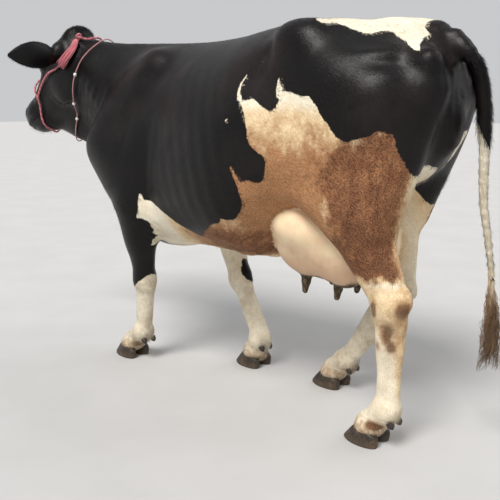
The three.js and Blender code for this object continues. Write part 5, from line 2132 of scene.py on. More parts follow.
class Switch:
    """The long hair at the tail's end, in wavy locks that hang and gather in a few strands."""

    locks = 620
    rows = 16
    clumps = 9
    low = 300.0
    spots = 25

    def build(self, material: bpy.types.Material) -> bpy.types.Object:
        """Builds the switch as joined tapering locks.

        Args:
            material: The hair's finish.

        Returns:
            The piece.
        """
        rng = np.random.default_rng(77)
        course = np.array(TAIL.switch, float)
        n = self.locks
        start = rng.uniform(0, 1, n) ** 0.8
        tail_line = smooth_path(TAIL.course, 60)
        root_z = 668 - 160 * start
        root = np.stack([np.interp(-root_z, -tail_line[:, 2], tail_line[:, c]) for c in range(3)], axis=1)
        root[root_z < 570] = np.array([-46, 930, 570])
        root[:, 2] = root_z
        angle = rng.uniform(0, math.tau, n)
        out = np.stack([np.cos(angle), np.sin(angle), np.zeros(n)], axis=1)
        clump = rng.integers(0, self.clumps, n)
        clump_angle = clump * math.tau / self.clumps + 0.4
        gather = np.stack([np.cos(clump_angle) * 15, np.sin(clump_angle) * 17, np.zeros(n)], axis=1)
        end_z = self.low + rng.uniform(0, 1, n) ** 1.7 * 170 + 12 * (clump % 3)
        root += out * np.where(root_z > 570, 8.0, 7.0 * rng.uniform(0.2, 1, n))[:, None]
        rings, width = [], rng.uniform(1.2, 2.4, n)
        for row in range(self.rows + 1):
            t = row / self.rows
            z = root[:, 2] + (end_z - root[:, 2]) * t
            spine = np.stack([np.interp(-z, -course[:, 2], course[:, c]) for c in range(3)], axis=1)
            full = ease(0.12, 0.5, np.full(n, t)) * (1.15 - 0.35 * t)
            swing = np.sin(t * (9 + clump) + clump * 1.7) * 19.0 * t**1.3
            bound = spine + gather * (0.35 + 0.65 * t) * (1 - 0.2 * t) + out * (8 * full)[:, None]
            hold = ease(0, 0.4, np.full(n, t))[:, None]
            centre = root * [1, 1, 0] * (1 - hold) + bound * [1, 1, 0] * hold
            centre[:, 0] += swing
            sweep = np.cos(t * (10 + clump % 4) + clump * 2.3) * 17.0 * t**1.3
            centre[:, 1] += sweep - 20.0 * t**3 * (clump % 3 == 0)
            centre[:, 2] = z
            half = width * (1 - 0.85 * t**2) * 0.5
            for k in range(3):
                a = angle + k * math.tau / 3
                rings.append(centre + np.stack([np.cos(a) * half, np.sin(a) * half, 0 * a], axis=1))
        points = np.stack(rings, axis=1)
        size = points.shape[1]
        pattern = [[0, 2, 1], [size - 3, size - 2, size - 1]] + prism(self.rows)
        faces = repeated(pattern, n, size)[:, ::-1]
        along = np.repeat(np.linspace(0, 1, self.rows + 1), 3)
        shade = rng.uniform(0, 1, n) * 0.5 + 0.5 * ((clump * 37) % self.clumps) / 8
        values = {"tip": np.tile(along, n), "shade": np.repeat(shade, size)}
        spot = (np.stack([np.arange(n) % self.spots, np.arange(n) // self.spots], axis=1) + 0.5) / self.spots
        patch = np.stack([np.tile([-0.01, 0.01, 0.0], self.rows + 1), (along - 0.5) * 0.03], axis=1)
        uv = (spot[:, None] + patch[None]).reshape(-1, 2)
        piece = mesh_object("tail_switch_hair", DRAWING.metres(points.reshape(-1, 3)), faces, values, uv)
        return finish_piece(piece, material, "coat", "tail_switch")


# ---------------------------------------------------------------- finishes
class Graph:
    """Adds and links the nodes of one shader tree."""

    def __init__(self, tree: bpy.types.NodeTree) -> None:
        """Takes the tree."""
        self.tree = tree

    def add(self, kind: str, **settings: object) -> bpy.types.Node:
        """A new node with some settings.

        Args:
            kind: Type of the node.
            **settings: Its properties.

        Returns:
            The node.
        """
        node = self.tree.nodes.new(kind)
        for name, value in settings.items():
            setattr(node, name, value)
        return node

    def feed(self, socket: bpy.types.NodeSocket, value: object) -> None:
        """Links a socket to another, or sets its value.

        Args:
            socket: The input.
            value: Another socket, or a constant.
        """
        if isinstance(value, bpy.types.NodeSocket):
            self.tree.links.new(value, socket)
        else:
            socket.default_value = value

    def math(self, operation: str, a: object, b: object = 0.0, c: object = 0.0) -> bpy.types.NodeSocket:
        """One sum of a Math node.

        Args:
            operation: What is done.
            a: First value.
            b: Second value.
            c: Third value.

        Returns:
            The result.
        """
        node = self.add("ShaderNodeMath", operation=operation)
        for i, value in enumerate((a, b, c)):
            self.feed(node.inputs[i], value)
        return node.outputs[0]

    def times(self, a: object, b: object) -> bpy.types.NodeSocket:
        """One value times another."""
        return self.math("MULTIPLY", a, b)

    def times_plus(self, a: object, b: object, c: object) -> bpy.types.NodeSocket:
        """One value times another, and a third added."""
        return self.math("MULTIPLY_ADD", a, b, c)

    def stir(self, noise: object, by: object, value: object) -> bpy.types.NodeSocket:
        """A value with some of a noise, counted from the noise's middle, added."""
        return self.times_plus(self.math("SUBTRACT", noise, 0.5), by, value)

    def fill(self, node: bpy.types.Node, values: dict[str, object]) -> None:
        """Links or sets several of a node's sockets by name."""
        for name, value in values.items():
            self.feed(node.inputs[name], value)

    def mix(self, share: object, a: object, b: object) -> bpy.types.NodeSocket:
        """A colour between two.

        Args:
            share: How much of the second.
            a: First colour.
            b: Second colour.

        Returns:
            The colour.
        """
        node = self.add("ShaderNodeMix", data_type="RGBA")
        self.feed(node.inputs["Factor"], share)
        for name, value in (("A", a), ("B", b)):
            socket = next(s for s in node.inputs if s.name == name and s.type == "RGBA")
            self.feed(socket, (*value, 1.0) if isinstance(value, tuple) and len(value) == 3 else value)
        return next(s for s in node.outputs if s.type == "RGBA")

    def vector(self, operation: str, a: object, b: object = (0, 0, 0), scale: object = 1.0) -> bpy.types.Node:
        """A Vector Math node.

        Args:
            operation: What is done.
            a: First vector.
            b: Second vector.
            scale: Factor, where a vector is scaled.

        Returns:
            The node.
        """
        node = self.add("ShaderNodeVectorMath", operation=operation)
        self.feed(node.inputs[0], a)
        self.feed(node.inputs[1], b)
        if operation == "SCALE":
            self.feed(node.inputs[3], scale)
        return node

    def noise(
        self, place: object, scale: object, detail: float = 3.0, rough: float = 0.55
    ) -> bpy.types.NodeSocket:
        """A noise value, about 0 to 1.

        Args:
            place: Where it is read.
            scale: How fine it is.
            detail: How many finer layers it has.
            rough: How strong those are.

        Returns:
            The value.
        """
        node = self.add("ShaderNodeTexNoise")
        self.fill(node, {"Vector": place, "Scale": scale, "Detail": detail, "Roughness": rough})
        return node.outputs[0]

    def cells(self, place: object, scale: object) -> bpy.types.NodeSocket:
        """Distance within a pattern of cells.

        Args:
            place: Where it is read.
            scale: How fine the cells are.

        Returns:
            The distance.
        """
        node = self.add("ShaderNodeTexVoronoi", feature="F1")
        self.fill(node, {"Vector": place, "Scale": scale})
        return node.outputs["Distance"]

    def span(
        self, value: object, low: object, high: object, to_low: float = 0.0, to_high: float = 1.0
    ) -> bpy.types.NodeSocket:
        """Eases a value from one span to another.

        Args:
            value: The value.
            low: Where the change starts.
            high: Where it ends.
            to_low: Result at its start.
            to_high: Result at its end.

        Returns:
            The result.
        """
        node = self.add("ShaderNodeMapRange", interpolation_type="SMOOTHSTEP")
        limits = {"From Min": low, "From Max": high, "To Min": to_low, "To Max": to_high}
        self.fill(node, {"Value": value} | limits)
        return node.outputs["Result"]

    def painted(self, name: str) -> bpy.types.NodeSocket:
        """A painted value of the mesh."""
        return self.add("ShaderNodeAttribute", attribute_name=name).outputs["Fac"]

    def place(self) -> bpy.types.NodeSocket:
        """The point's place in the piece's own space, in metres."""
        return self.add("ShaderNodeTexCoord").outputs["Object"]


class Effect:
    """A shader node group that several finishes share, built once."""

    def __init__(self, name: str, inputs: dict[str, float], outputs: dict[str, str]) -> None:
        """Starts a group.

        Args:
            name: Name of the effect.
            inputs: Its numbers and what they start at.
            outputs: Its outputs, each "color" or "float".
        """
        self.tree = bpy.data.node_groups.new(name, "ShaderNodeTree")
        for key, value in inputs.items():
            socket = self.tree.interface.new_socket(key, in_out="INPUT", socket_type="NodeSocketFloat")
            socket.default_value = value
        for key, kind in outputs.items():
            self.tree.interface.new_socket(
                key, in_out="OUTPUT", socket_type="NodeSocketColor" if kind == "color" else "NodeSocketFloat")
        self.graph = Graph(self.tree)
        self.inside = self.graph.add("NodeGroupInput").outputs
        self.out = self.graph.add("NodeGroupOutput").inputs

    def put_out(self, name: str, value: bpy.types.NodeSocket) -> None:
        """Links an output of the group."""
        self.tree.links.new(value, self.out[name])

    @staticmethod
    def placed(graph: Graph, tree: bpy.types.NodeTree, **inputs: object) -> bpy.types.Node:
        """Places a group in a tree with its own values.

        Args:
            graph: The tree that it goes into.
            tree: The group.
            **inputs: Values for its inputs, by name.

        Returns:
            The group's node.
        """
        node = graph.add("ShaderNodeGroup", node_tree=tree)
        for name, value in inputs.items():
            graph.feed(node.inputs[name.replace("_", " ").title()], value)
        return node


def hair_streaks() -> bpy.types.NodeTree:
    """The streaks of short hair, which run along the lie of the coat on body, legs and face.

    Returns:
        The node group.
    """
    fx = Effect("hair streaks", {"Scale": 420.0, "Stretch": 9.0}, {"Height": "float", "Strand": "float"})
    g, scale, stretch = fx.graph, fx.inside["Scale"], fx.inside["Stretch"]
    place = g.place()
    bend = g.add("ShaderNodeTexNoise")
    g.fill(bend, {"Vector": place, "Scale": 7.0})
    wobble = g.vector("SCALE", bend.outputs["Color"], scale=0.035).outputs[0]
    bent = g.vector("ADD", place, wobble).outputs[0]
    found = []
    for lie in ((0.0, 0.86, -0.5), (0.0, 0.14, -0.99), (0.0, -0.77, -0.64)):
        along = g.vector("DOT_PRODUCT", bent, lie).outputs["Value"]
        part = g.add("ShaderNodeCombineXYZ")
        for axis in range(3):
            g.feed(part.inputs[axis], g.times(along, lie[axis]))
        across = g.vector("SUBTRACT", bent, part.outputs[0]).outputs[0]
        short = g.vector("SCALE", part.outputs[0], scale=g.math("DIVIDE", scale, stretch)).outputs[0]
        wide = g.vector("SCALE", across, scale=scale).outputs[0]
        found.append(g.noise(g.vector("ADD", wide, short).outputs[0], 1.0, 2.5, 0.6))
    on_leg = g.painted("leg")
    on_face = g.painted("face")

    def between(share: object, a: object, b: object) -> bpy.types.NodeSocket:
        """A value between two."""
        return g.times_plus(g.math("SUBTRACT", b, a), share, a)

    strand = between(on_face, between(on_leg, found[0], found[1]), found[2])
    fx.put_out("Strand", strand)
    locks = g.noise(bent, g.math("DIVIDE", scale, 9.0), 2.0)
    fx.put_out("Height", g.times_plus(locks, 0.5, strand))
    return fx.tree


def coat_markings() -> bpy.types.NodeTree:
    """Black and pale hair, stains, thin skin and dirt, and some painted shade and sheen, from the painted values.

    Returns:
        The node group.
    """
    results = {"Color": "color", "Pale": "float", "Rough": "float"}
    fx = Effect("coat markings", {"Ragged": 1.0, "Strand": 0.5}, results)
    g, strand = fx.graph, fx.inside["Strand"]
    place = g.place()
    # a ragged edge between black and pale hair
    coarse = g.noise(place, 46.0, 4.0, 0.62)
    fine = g.noise(place, 260.0, 2.0)
    edge = g.stir(coarse, 0.015, g.painted("mark"))
    edge = g.stir(fine, g.times(fx.inside["Ragged"], 0.007), edge)
    pale = g.span(edge, -0.0016, 0.0016)
    broad = g.noise(place, 5.0, 3.0)
    # black hair, rusty where the light has faded it, and browner on the upper body as a painted sheen
    flecks = g.span(g.times_plus(fine, 0.45, g.times(strand, 0.55)), 0.38, 0.62)
    rust_and_sheen_share = g.times(g.span(broad, 0.38, 0.7), g.painted("rust_and_sheen"))
    black = g.mix(rust_and_sheen_share, (0.0024, 0.0020, 0.0019), (0.021, 0.0130, 0.0130))
    black = g.mix(g.times(flecks, 0.35), black, (0.011, 0.0085, 0.0085))
    mottle = g.span(g.noise(place, 17.0, 4.0, 0.65), 0.40, 0.66)
    drawn_out = g.vector("MULTIPLY", place, (34.0, 26.0, 17.0)).outputs[0]
    combed = g.span(g.noise(drawn_out, 1.0, 5.0, 0.68), 0.38, 0.62)
    # the pale hair's white, cream, tan and brown
    white = g.mix(flecks, (0.76, 0.68, 0.50), (0.92, 0.87, 0.74))
    cream = g.mix(flecks, (0.68, 0.48, 0.27), (0.86, 0.71, 0.46))
    cream = g.mix(g.span(g.times_plus(broad, 0.12, g.painted("tone")), 0.04, 0.24), white, cream)
    stain = g.times(mottle, g.span(g.painted("tone"), 0.02, 0.3, 0.12, 0.75))
    cream = g.mix(stain, cream, (0.46, 0.26, 0.115))
    tan = g.mix(flecks, (0.27, 0.118, 0.050), (0.50, 0.262, 0.125))
    brown = g.mix(flecks, (0.055, 0.019, 0.009), (0.27, 0.112, 0.048))

    def flecked(share: object, under: object, low: tuple, high: tuple) -> bpy.types.NodeSocket:
        """A share of flecked hair between two colours, laid over a colour."""
        return g.mix(share, under, g.mix(flecks, low, high))

    tan = flecked(g.times(mottle, 0.75), tan, (0.17, 0.066, 0.026), (0.44, 0.235, 0.100))
    brown = flecked(g.times(combed, 0.75), brown, (0.15, 0.058, 0.024), (0.50, 0.245, 0.110))
    brown = flecked(g.times(mottle, 0.45), brown, (0.060, 0.020, 0.010), (0.21, 0.082, 0.036))
    brown = flecked(g.times(g.painted("deep"), 0.8), brown, (0.042, 0.016, 0.008), (0.19, 0.074, 0.034))
    # those laid over one another by their painted shares, then spots and dirt; the dirt on the legs is also painted
    # shade
    colour = g.mix(g.span(g.stir(coarse, 0.9, g.painted("tone")), 0.12, 0.9), cream, tan)
    colour = g.mix(g.span(g.stir(coarse, 0.9, g.painted("hairy")), 0.15, 0.8), colour, brown)
    spots = g.stir(coarse, 0.75, g.painted("spots"))
    colour = g.mix(g.span(spots, 0.02, 0.50, 0.0, 0.55), colour, (0.42, 0.235, 0.115))
    colour = flecked(g.span(spots, 0.26, 0.86), colour, (0.070, 0.028, 0.011), (0.22, 0.105, 0.046))
    # darker low down: dirt, and on the legs also painted shade
    dirt_and_shade = g.times(g.painted("grime_and_shade"), g.span(coarse, 0.25, 0.75, 0.42, 0.9))
    colour = g.mix(dirt_and_shade, colour, (0.30, 0.225, 0.140))
    # thin skin on udder and muzzle, the teats, and the black coat with its own bare skin
    skin = g.mix(g.span(g.noise(place, 22.0, 3.0), 0.3, 0.7), (0.88, 0.70, 0.44), (0.84, 0.58, 0.36))
    # the udder's skin darker towards its bottom: painted shade
    skin = g.mix(g.times(g.painted("deep"), 0.75), skin, (0.45, 0.235, 0.135))
    bare = g.painted("bare")
    colour = g.mix(g.times(bare, 0.85), colour, skin)
    blotch = g.span(g.noise(place, 70.0, 3.0), 0.42, 0.68)
    teat = g.mix(blotch, (0.040, 0.032, 0.018), (0.150, 0.100, 0.055))
    colour = g.mix(g.painted("teat"), colour, teat)
    cloudy = g.span(g.noise(place, 120.0, 2.0), 0.4, 0.65)
    slate = g.mix(cloudy, (0.012, 0.0115, 0.012), (0.030, 0.027, 0.028))
    black = g.mix(g.times(bare, 0.9), black, slate)
    colour = g.mix(pale, black, colour)
    colour = g.mix(g.painted("pit"), colour, (0.005, 0.004, 0.004))
    fx.put_out("Color", colour)
    fx.put_out("Pale", pale)
    rough = g.times_plus(strand, 0.18, g.span(pale, 0.0, 1.0, 0.25, 0.55))
    fx.put_out("Rough", g.times_plus(bare, -0.14, rough))
    return fx.tree


def ground_dust() -> bpy.types.NodeTree:
    """Dust and soil that gather low down, in patches, as a mask.

    Returns:
        The node group.
    """
    fx = Effect("ground dust", {"Height": 0.05, "Amount": 0.6}, {"Mask": "float"})
    g = fx.graph
    place = g.place()
    z = g.add("ShaderNodeSeparateXYZ")
    g.feed(z.inputs[0], place)
    low = g.math("SUBTRACT", 1.0, g.math("DIVIDE", z.outputs[2], fx.inside["Height"]))
    patchy = g.noise(place, 60.0, 5.0, 0.65)
    fx.put_out("Mask", g.times(g.span(g.math("ADD", low, patchy), 0.5, 1.3), fx.inside["Amount"]))
    return fx.tree


def spun_fibre() -> bpy.types.NodeTree:
    """Fine twisted fibres for ropes and cords.

    Returns:
        The node group.
    """
    fx = Effect("spun fibre", {"Scale": 900.0}, {"Height": "float", "Fuzz": "float"})
    g = fx.graph
    uv = g.add("ShaderNodeUVMap", uv_map="OFBake").outputs[0]
    fuzz = g.noise(g.place(), fx.inside["Scale"], 3.0, 0.7)
    fx.put_out("Fuzz", fuzz)
    bands = g.add("ShaderNodeTexWave", wave_type="BANDS", bands_direction="DIAGONAL")
    g.fill(bands, {"Vector": uv, "Scale": 60.0, "Distortion": 3.0, "Detail": 2.0})
    fx.put_out("Height", g.times_plus(fuzz, 0.6, bands.outputs["Fac"]))
    return fx.tree


class Palette:
    """Builds every effect once, and hands out the finishes made with them."""

    def __init__(self) -> None:
        """Builds the shared effects."""
        self.streaks = hair_streaks()
        self.markings = coat_markings()
        self.dust = ground_dust()
        self.fibre = spun_fibre()

    @staticmethod
    def start(name: str) -> tuple[bpy.types.Material, Graph, bpy.types.Node]:
        """A new material with its graph and shader.

        Args:
            name: Name of the material.

        Returns:
            The material, its graph and its shader.
        """
        material = bpy.data.materials.new(name)
        material.use_nodes = True
        return material, Graph(material.node_tree), material.node_tree.nodes["Principled BSDF"]

    @staticmethod
    def bump(g: Graph, shader: bpy.types.Node, height: object, distance: float, strength: float) -> None:
        """Feeds a shader's normal from a height.

        Args:
            g: The material's graph.
            shader: Its shader.
            height: The height.
            distance: How high it is, in metres.
            strength: How much of it shows.
        """
        node = g.add("ShaderNodeBump")
        g.fill(node, {"Strength": strength, "Distance": distance, "Height": height})
        g.feed(shader.inputs["Normal"], node.outputs[0])


@dataclass(frozen=True)
class CoatFinish:
    """Skin under its short coat, or the hair of the tufts themselves."""

    name: str
    bumpy: bool
    specular: float = 0.22

    def build(self, palette: Palette) -> bpy.types.Material:
        """Builds the finish.

        Args:
            palette: The effects that finishes share.

        Returns:
            The material.
        """
        material, g, shader = palette.start(self.name)
        streaks = Effect.placed(g, palette.streaks, scale=430.0, stretch=9.0)
        marks = Effect.placed(g, palette.markings, ragged=1.0, strand=streaks.outputs["Strand"])
        colour, rough = marks.outputs["Color"], marks.outputs["Rough"]
        if self.bumpy:
            place = g.place()
            bare = g.painted("bare")
            cobble = g.times(g.cells(place, 340.0), g.painted("face"))
            crease = g.noise(place, 300.0, 4.0, 0.6)
            hide = g.times_plus(cobble, 0.85, g.times(crease, 0.30))
            hair = g.times(streaks.outputs["Height"], g.math("SUBTRACT", 1.0, bare))
            height = g.times_plus(hide, bare, hair)
            palette.bump(g, shader, height, 0.0016, 0.5)
        else:
            palette.bump(g, shader, streaks.outputs["Height"], 0.0016, 0.35)
            lighter = g.mix(g.times(g.painted("tip"), 0.22), colour, (0.55, 0.42, 0.28))
            darker = g.mix(g.times(g.painted("shade"), 0.25), colour, (0.003, 0.0025, 0.0025))
            colour = g.mix(g.times(marks.outputs["Pale"], 0.6), darker, lighter)
        g.fill(shader, {"Base Color": colour, "Roughness": rough, "Specular IOR Level": self.specular})
        return material


@dataclass(frozen=True)
class SwitchFinish:
    """Long tail hair, brown-grey and dusty at the ends."""

    name: str = "tail switch hair"

    def build(self, palette: Palette) -> bpy.types.Material:
        """Builds the finish.

        Args:
            palette: The effects that finishes share.

        Returns:
            The material.
        """
        material, g, shader = palette.start(self.name)
        shade, tip = g.painted("shade"), g.painted("tip")
        colour = g.mix(shade, (0.045, 0.025, 0.013), (0.34, 0.200, 0.110))
        colour = g.mix(g.times(tip, 0.30), colour, (0.16, 0.100, 0.055))
        root = g.span(g.times_plus(shade, 0.16, tip), 0.56, 0.28)
        colour = g.mix(root, colour, g.mix(shade, (0.36, 0.24, 0.15), (0.72, 0.58, 0.40)))
        rough = g.span(g.noise(g.place(), 300.0), 0.3, 0.7, 0.5, 0.75)
        g.fill(shader, {"Base Color": colour, "Roughness": rough, "Specular IOR Level": 0.35})
        return material


@dataclass(frozen=True)
class LashFinish:
    """Black lash hair, a little browner towards the tips."""

    name: str = "lash hair"

    def build(self, palette: Palette) -> bpy.types.Material:
        """Builds the finish.

        Args:
            palette: The effects that finishes share.

        Returns:
            The material.
        """
        material, g, shader = palette.start(self.name)
        colour = g.mix(g.noise(g.place(), 400.0), (0.004, 0.0035, 0.0035), (0.020, 0.013, 0.009))
        g.fill(shader, {"Base Color": colour, "Roughness": 0.5})
        return material


@dataclass(frozen=True)
class EyeFinish:
    """A wet dark eye with a brown iris and a level pupil."""

    name: str = "eye"
    iris: float = 0.74

    def build(self, palette: Palette) -> bpy.types.Material:
        """Builds the finish.

        Args:
            palette: The effects that finishes share.

        Returns:
            The material.
        """
        material, g, shader = palette.start(self.name)
        across, up = g.painted("across"), g.painted("up")
        ring = g.math("SQRT", self.oval(g, across, up, 1.0, 1.0))
        slot = self.oval(g, across, up, 0.40, 0.20)
        rays = g.times_plus(g.noise(g.place(), 900.0, 3.0), 0.35, ring)
        iris = g.mix(g.span(rays, 0.2, 0.85), (0.028, 0.0125, 0.0055), (0.0075, 0.0040, 0.0028))
        vessels = g.span(g.noise(g.place(), 140.0, 3.0), 0.35, 0.7)
        white = g.mix(vessels, (0.16, 0.115, 0.090), (0.055, 0.034, 0.027))
        colour = g.mix(g.span(ring, self.iris, self.iris + 0.07), iris, white)
        colour = g.mix(g.span(slot, 1.25, 0.8), colour, (0.003, 0.0035, 0.006))
        g.fill(shader, {
            "Base Color": colour, "Roughness": g.span(ring, 0.6, 0.8, 0.05, 0.16),
            "Specular IOR Level": 0.2, "Coat Weight": 0.55, "Coat Roughness": 0.02,
        })
        return material

    @staticmethod
    def oval(g: Graph, across: object, up: object, wide: float, high: float) -> bpy.types.NodeSocket:
        """Squared distance from the eye's middle, counted in an oval's half width and height."""
        pairs = ((across, wide), (up, high))
        return g.math("ADD", *[g.math("POWER", g.math("DIVIDE", a, b), 2.0) for a, b in pairs])


@dataclass(frozen=True)
class HornFinish:
    """Claw horn: growth rings, streaks down the wall, and soil at the sole."""

    name: str = "claw horn"

    def build(self, palette: Palette) -> bpy.types.Material:
        """Builds the finish.

        Args:
            palette: The effects that finishes share.

        Returns:
            The material.
        """
        material, g, shader = palette.start(self.name)
        down, place = g.painted("down"), g.place()
        rings = g.math("SINE", g.times_plus(g.noise(place, 30.0), 5.0, g.times(down, 46.0)))
        streak = g.noise(g.vector("MULTIPLY", place, (260.0, 260.0, 22.0)).outputs[0], 1.0, 3.0)
        colour = g.mix(g.span(streak, 0.35, 0.68), (0.010, 0.008, 0.005), (0.042, 0.029, 0.017))
        blotch = g.span(g.noise(place, 24.0, 4.0, 0.65), 0.50, 0.70)
        colour = g.mix(blotch, colour, (0.105, 0.062, 0.034))
        colour = g.mix(g.span(rings, 0.2, 1.0, 0.0, 0.07), colour, (0.10, 0.066, 0.040))
        dust = Effect.placed(g, palette.dust, height=0.035, amount=0.3).outputs["Mask"]
        colour = g.mix(dust, colour, (0.15, 0.10, 0.060))
        rough = g.span(g.math("ADD", dust, streak), 0.3, 1.2, 0.38, 0.8)
        g.fill(shader, {"Base Color": colour, "Roughness": rough})
        palette.bump(g, shader, g.times_plus(rings, 0.5, g.times(streak, 0.8)), 0.0005, 0.6)
        return material


@dataclass(frozen=True)
class RopeFinish:
    """Spun rope in one hue, paler where it is worn, with some strands darker than the rest."""

    name: str
    hue: tuple
    worn: tuple
    deep: tuple

    def build(self, palette: Palette) -> bpy.types.Material:
        """Builds the finish.

        Args:
            palette: The effects that finishes share.

        Returns:
            The material.
        """
        material, g, shader = palette.start(self.name)
        fibre = Effect.placed(g, palette.fibre, scale=900.0)
        strand = g.painted("strand")
        colour = g.mix(g.span(fibre.outputs["Fuzz"], 0.35, 0.7), self.hue, self.worn)
        colour = g.mix(g.times(strand, 0.8), colour, self.deep)
        dust = Effect.placed(g, palette.dust, height=3.0, amount=0.22).outputs["Mask"]
        colour = g.mix(dust, colour, (0.33, 0.22, 0.17))
        rough = g.span(fibre.outputs["Fuzz"], 0.3, 0.7, 0.62, 0.86)
        g.fill(shader, {"Base Color": colour, "Roughness": rough, "Sheen Weight": 0.3})
        palette.bump(g, shader, fibre.outputs["Height"], 0.0006, 0.8)
        return material


@dataclass(frozen=True)
class BeadFinish:
    """Glazed white bead, faintly chipped and dusty."""

    name: str = "glazed bead"

    def build(self, palette: Palette) -> bpy.types.Material:
        """Builds the finish.

        Args:
            palette: The effects that finishes share.

        Returns:
            The material.
        """
        material, g, shader = palette.start(self.name)
        place = g.place()
        mottle = g.noise(place, 260.0, 4.0)
        colour = g.mix(g.span(mottle, 0.45, 0.72), (0.86, 0.84, 0.79), (0.66, 0.56, 0.50))
        g.fill(shader, {"Base Color": colour, "Roughness": g.span(mottle, 0.4, 0.75, 0.16, 0.42)})
        palette.bump(g, shader, mottle, 0.0003, 0.4)
        return material


# ---------------------------------------------------------------- eyes, claws and tack
class Eyeballs:
    """Both eyes: whole balls with a slightly domed cornea."""

    rings = 40
    columns = 48

    def build(self, material: bpy.types.Material) -> None:
        """Builds and places both eyes.

        Args:
            material: Their finish.
        """
        for side, node in ((1, "eye_left"), (-1, "eye_right")):
            axes, centre = Lids().axes(side), EYE.centre(side)
            theta = np.linspace(0.0, math.pi, self.rings + 1)[1:-1]
            phi = np.linspace(0, math.tau, self.columns, endpoint=False)
            t, f = (m.ravel() for m in np.meshgrid(theta, phi, indexing="ij"))
            t, f = np.concatenate([[0.0], t, [math.pi]]), np.concatenate([[0.0], f, [0.0]])
            unit_ball = np.stack([np.sin(t) * np.cos(f), np.sin(t) * np.sin(f), np.cos(t)], axis=1)
            radius = EYE.radius - 0.5 + 1.5 * ease(0.66, 0.28, t)
            points = centre + (unit_ball * radius[:, None]) @ axes
            last = len(points) - 1
            faces = [[0, 1 + i, 1 + (i + 1) % self.columns] for i in range(self.columns)]
            base = 1 + (self.rings - 2) * self.columns
            faces += [[last, base + (i + 1) % self.columns, base + i] for i in range(self.columns)]
            quads = grid_faces(self.rings - 1, self.columns, 1)[:, ::-1]
            faces += quads[:, [0, 1, 2]].tolist() + quads[:, [0, 2, 3]].tolist()
            faces = np.array(faces)
            if np.cross(points[faces[0, 1]] - points[0], points[faces[0, 2]] - points[0]) @ axes[2] < 0:
                faces = faces[:, ::-1]
            values = {"across": unit_ball[:, 0], "up": unit_ball[:, 1]}
            uv = 0.5 + np.stack([np.cos(f), np.sin(f)], axis=1) * (t / math.pi * 0.49)[:, None]
            piece = mesh_object(f"{node}_ball", DRAWING.metres(points), faces, values, uv)
            finish_piece(piece, material, "eye", node)


class Lashes:
    """Curved lashes along both lids of each eye."""

    upper = (0.3, math.pi - 0.3, 84, 15)
    lower = (math.pi + 0.5, math.tau - 0.5, 26, 6)
    rows = 4
    thick = 0.26
    chart = 40.0

    def build(self, material: bpy.types.Material) -> None:
        """Builds all lashes as one piece.

        Args:
            material: Their finish.
        """
        rng = np.random.default_rng(5)
        pile, size = Pile(), (self.rows + 1) * 3
        pattern = [[0, 2, 1], [size - 3, size - 2, size - 1]] + prism(self.rows)
        for side in (1, -1):
            axes, centre = Lids().axes(side), EYE.centre(side)
            for low, high, count, length in (self.upper, self.lower):
                a = rng.uniform(low, high, count)
                x, y = Lids().slit(a)
                height = np.sqrt((EYE.radius + 2.4) ** 2 - x * x - y * y)
                root = np.stack([x, y, height], axis=1)
                away = x * 0.035 + rng.normal(0, 0.12, count)
                lean = unit(np.stack([away, 0.5 * np.sign(y), np.ones(count)], axis=1))
                long = (length * rng.uniform(0.7, 1.1, count))[:, None]
                rings = []
                for row in range(self.rows + 1):
                    t = row / self.rows
                    spot = root + lean * long * t + np.array([0, -0.7, 0.0]) * long * 0.45 * t * t
                    for k in range(3):
                        turn = k * math.tau / 3
                        corner = np.array([math.cos(turn), math.sin(turn), 0.0])
                        rings.append(spot + corner * self.thick * (1 - 0.8 * t))
                block = (np.stack(rings, axis=1).reshape(-1, 3)) @ axes + centre
                made = repeated(pattern, count, size)
                uv = (block[:, 1:] / self.chart) % 1 * 0.9 + 0.05
                values = {"tip": np.zeros(len(block)), "shade": np.full(len(block), 0.1)}
                pile.add(DRAWING.metres(block), made[:, ::-1] if side > 0 else made, uv, values)
        finish_piece(pile.build("lashes"), material, "coat")


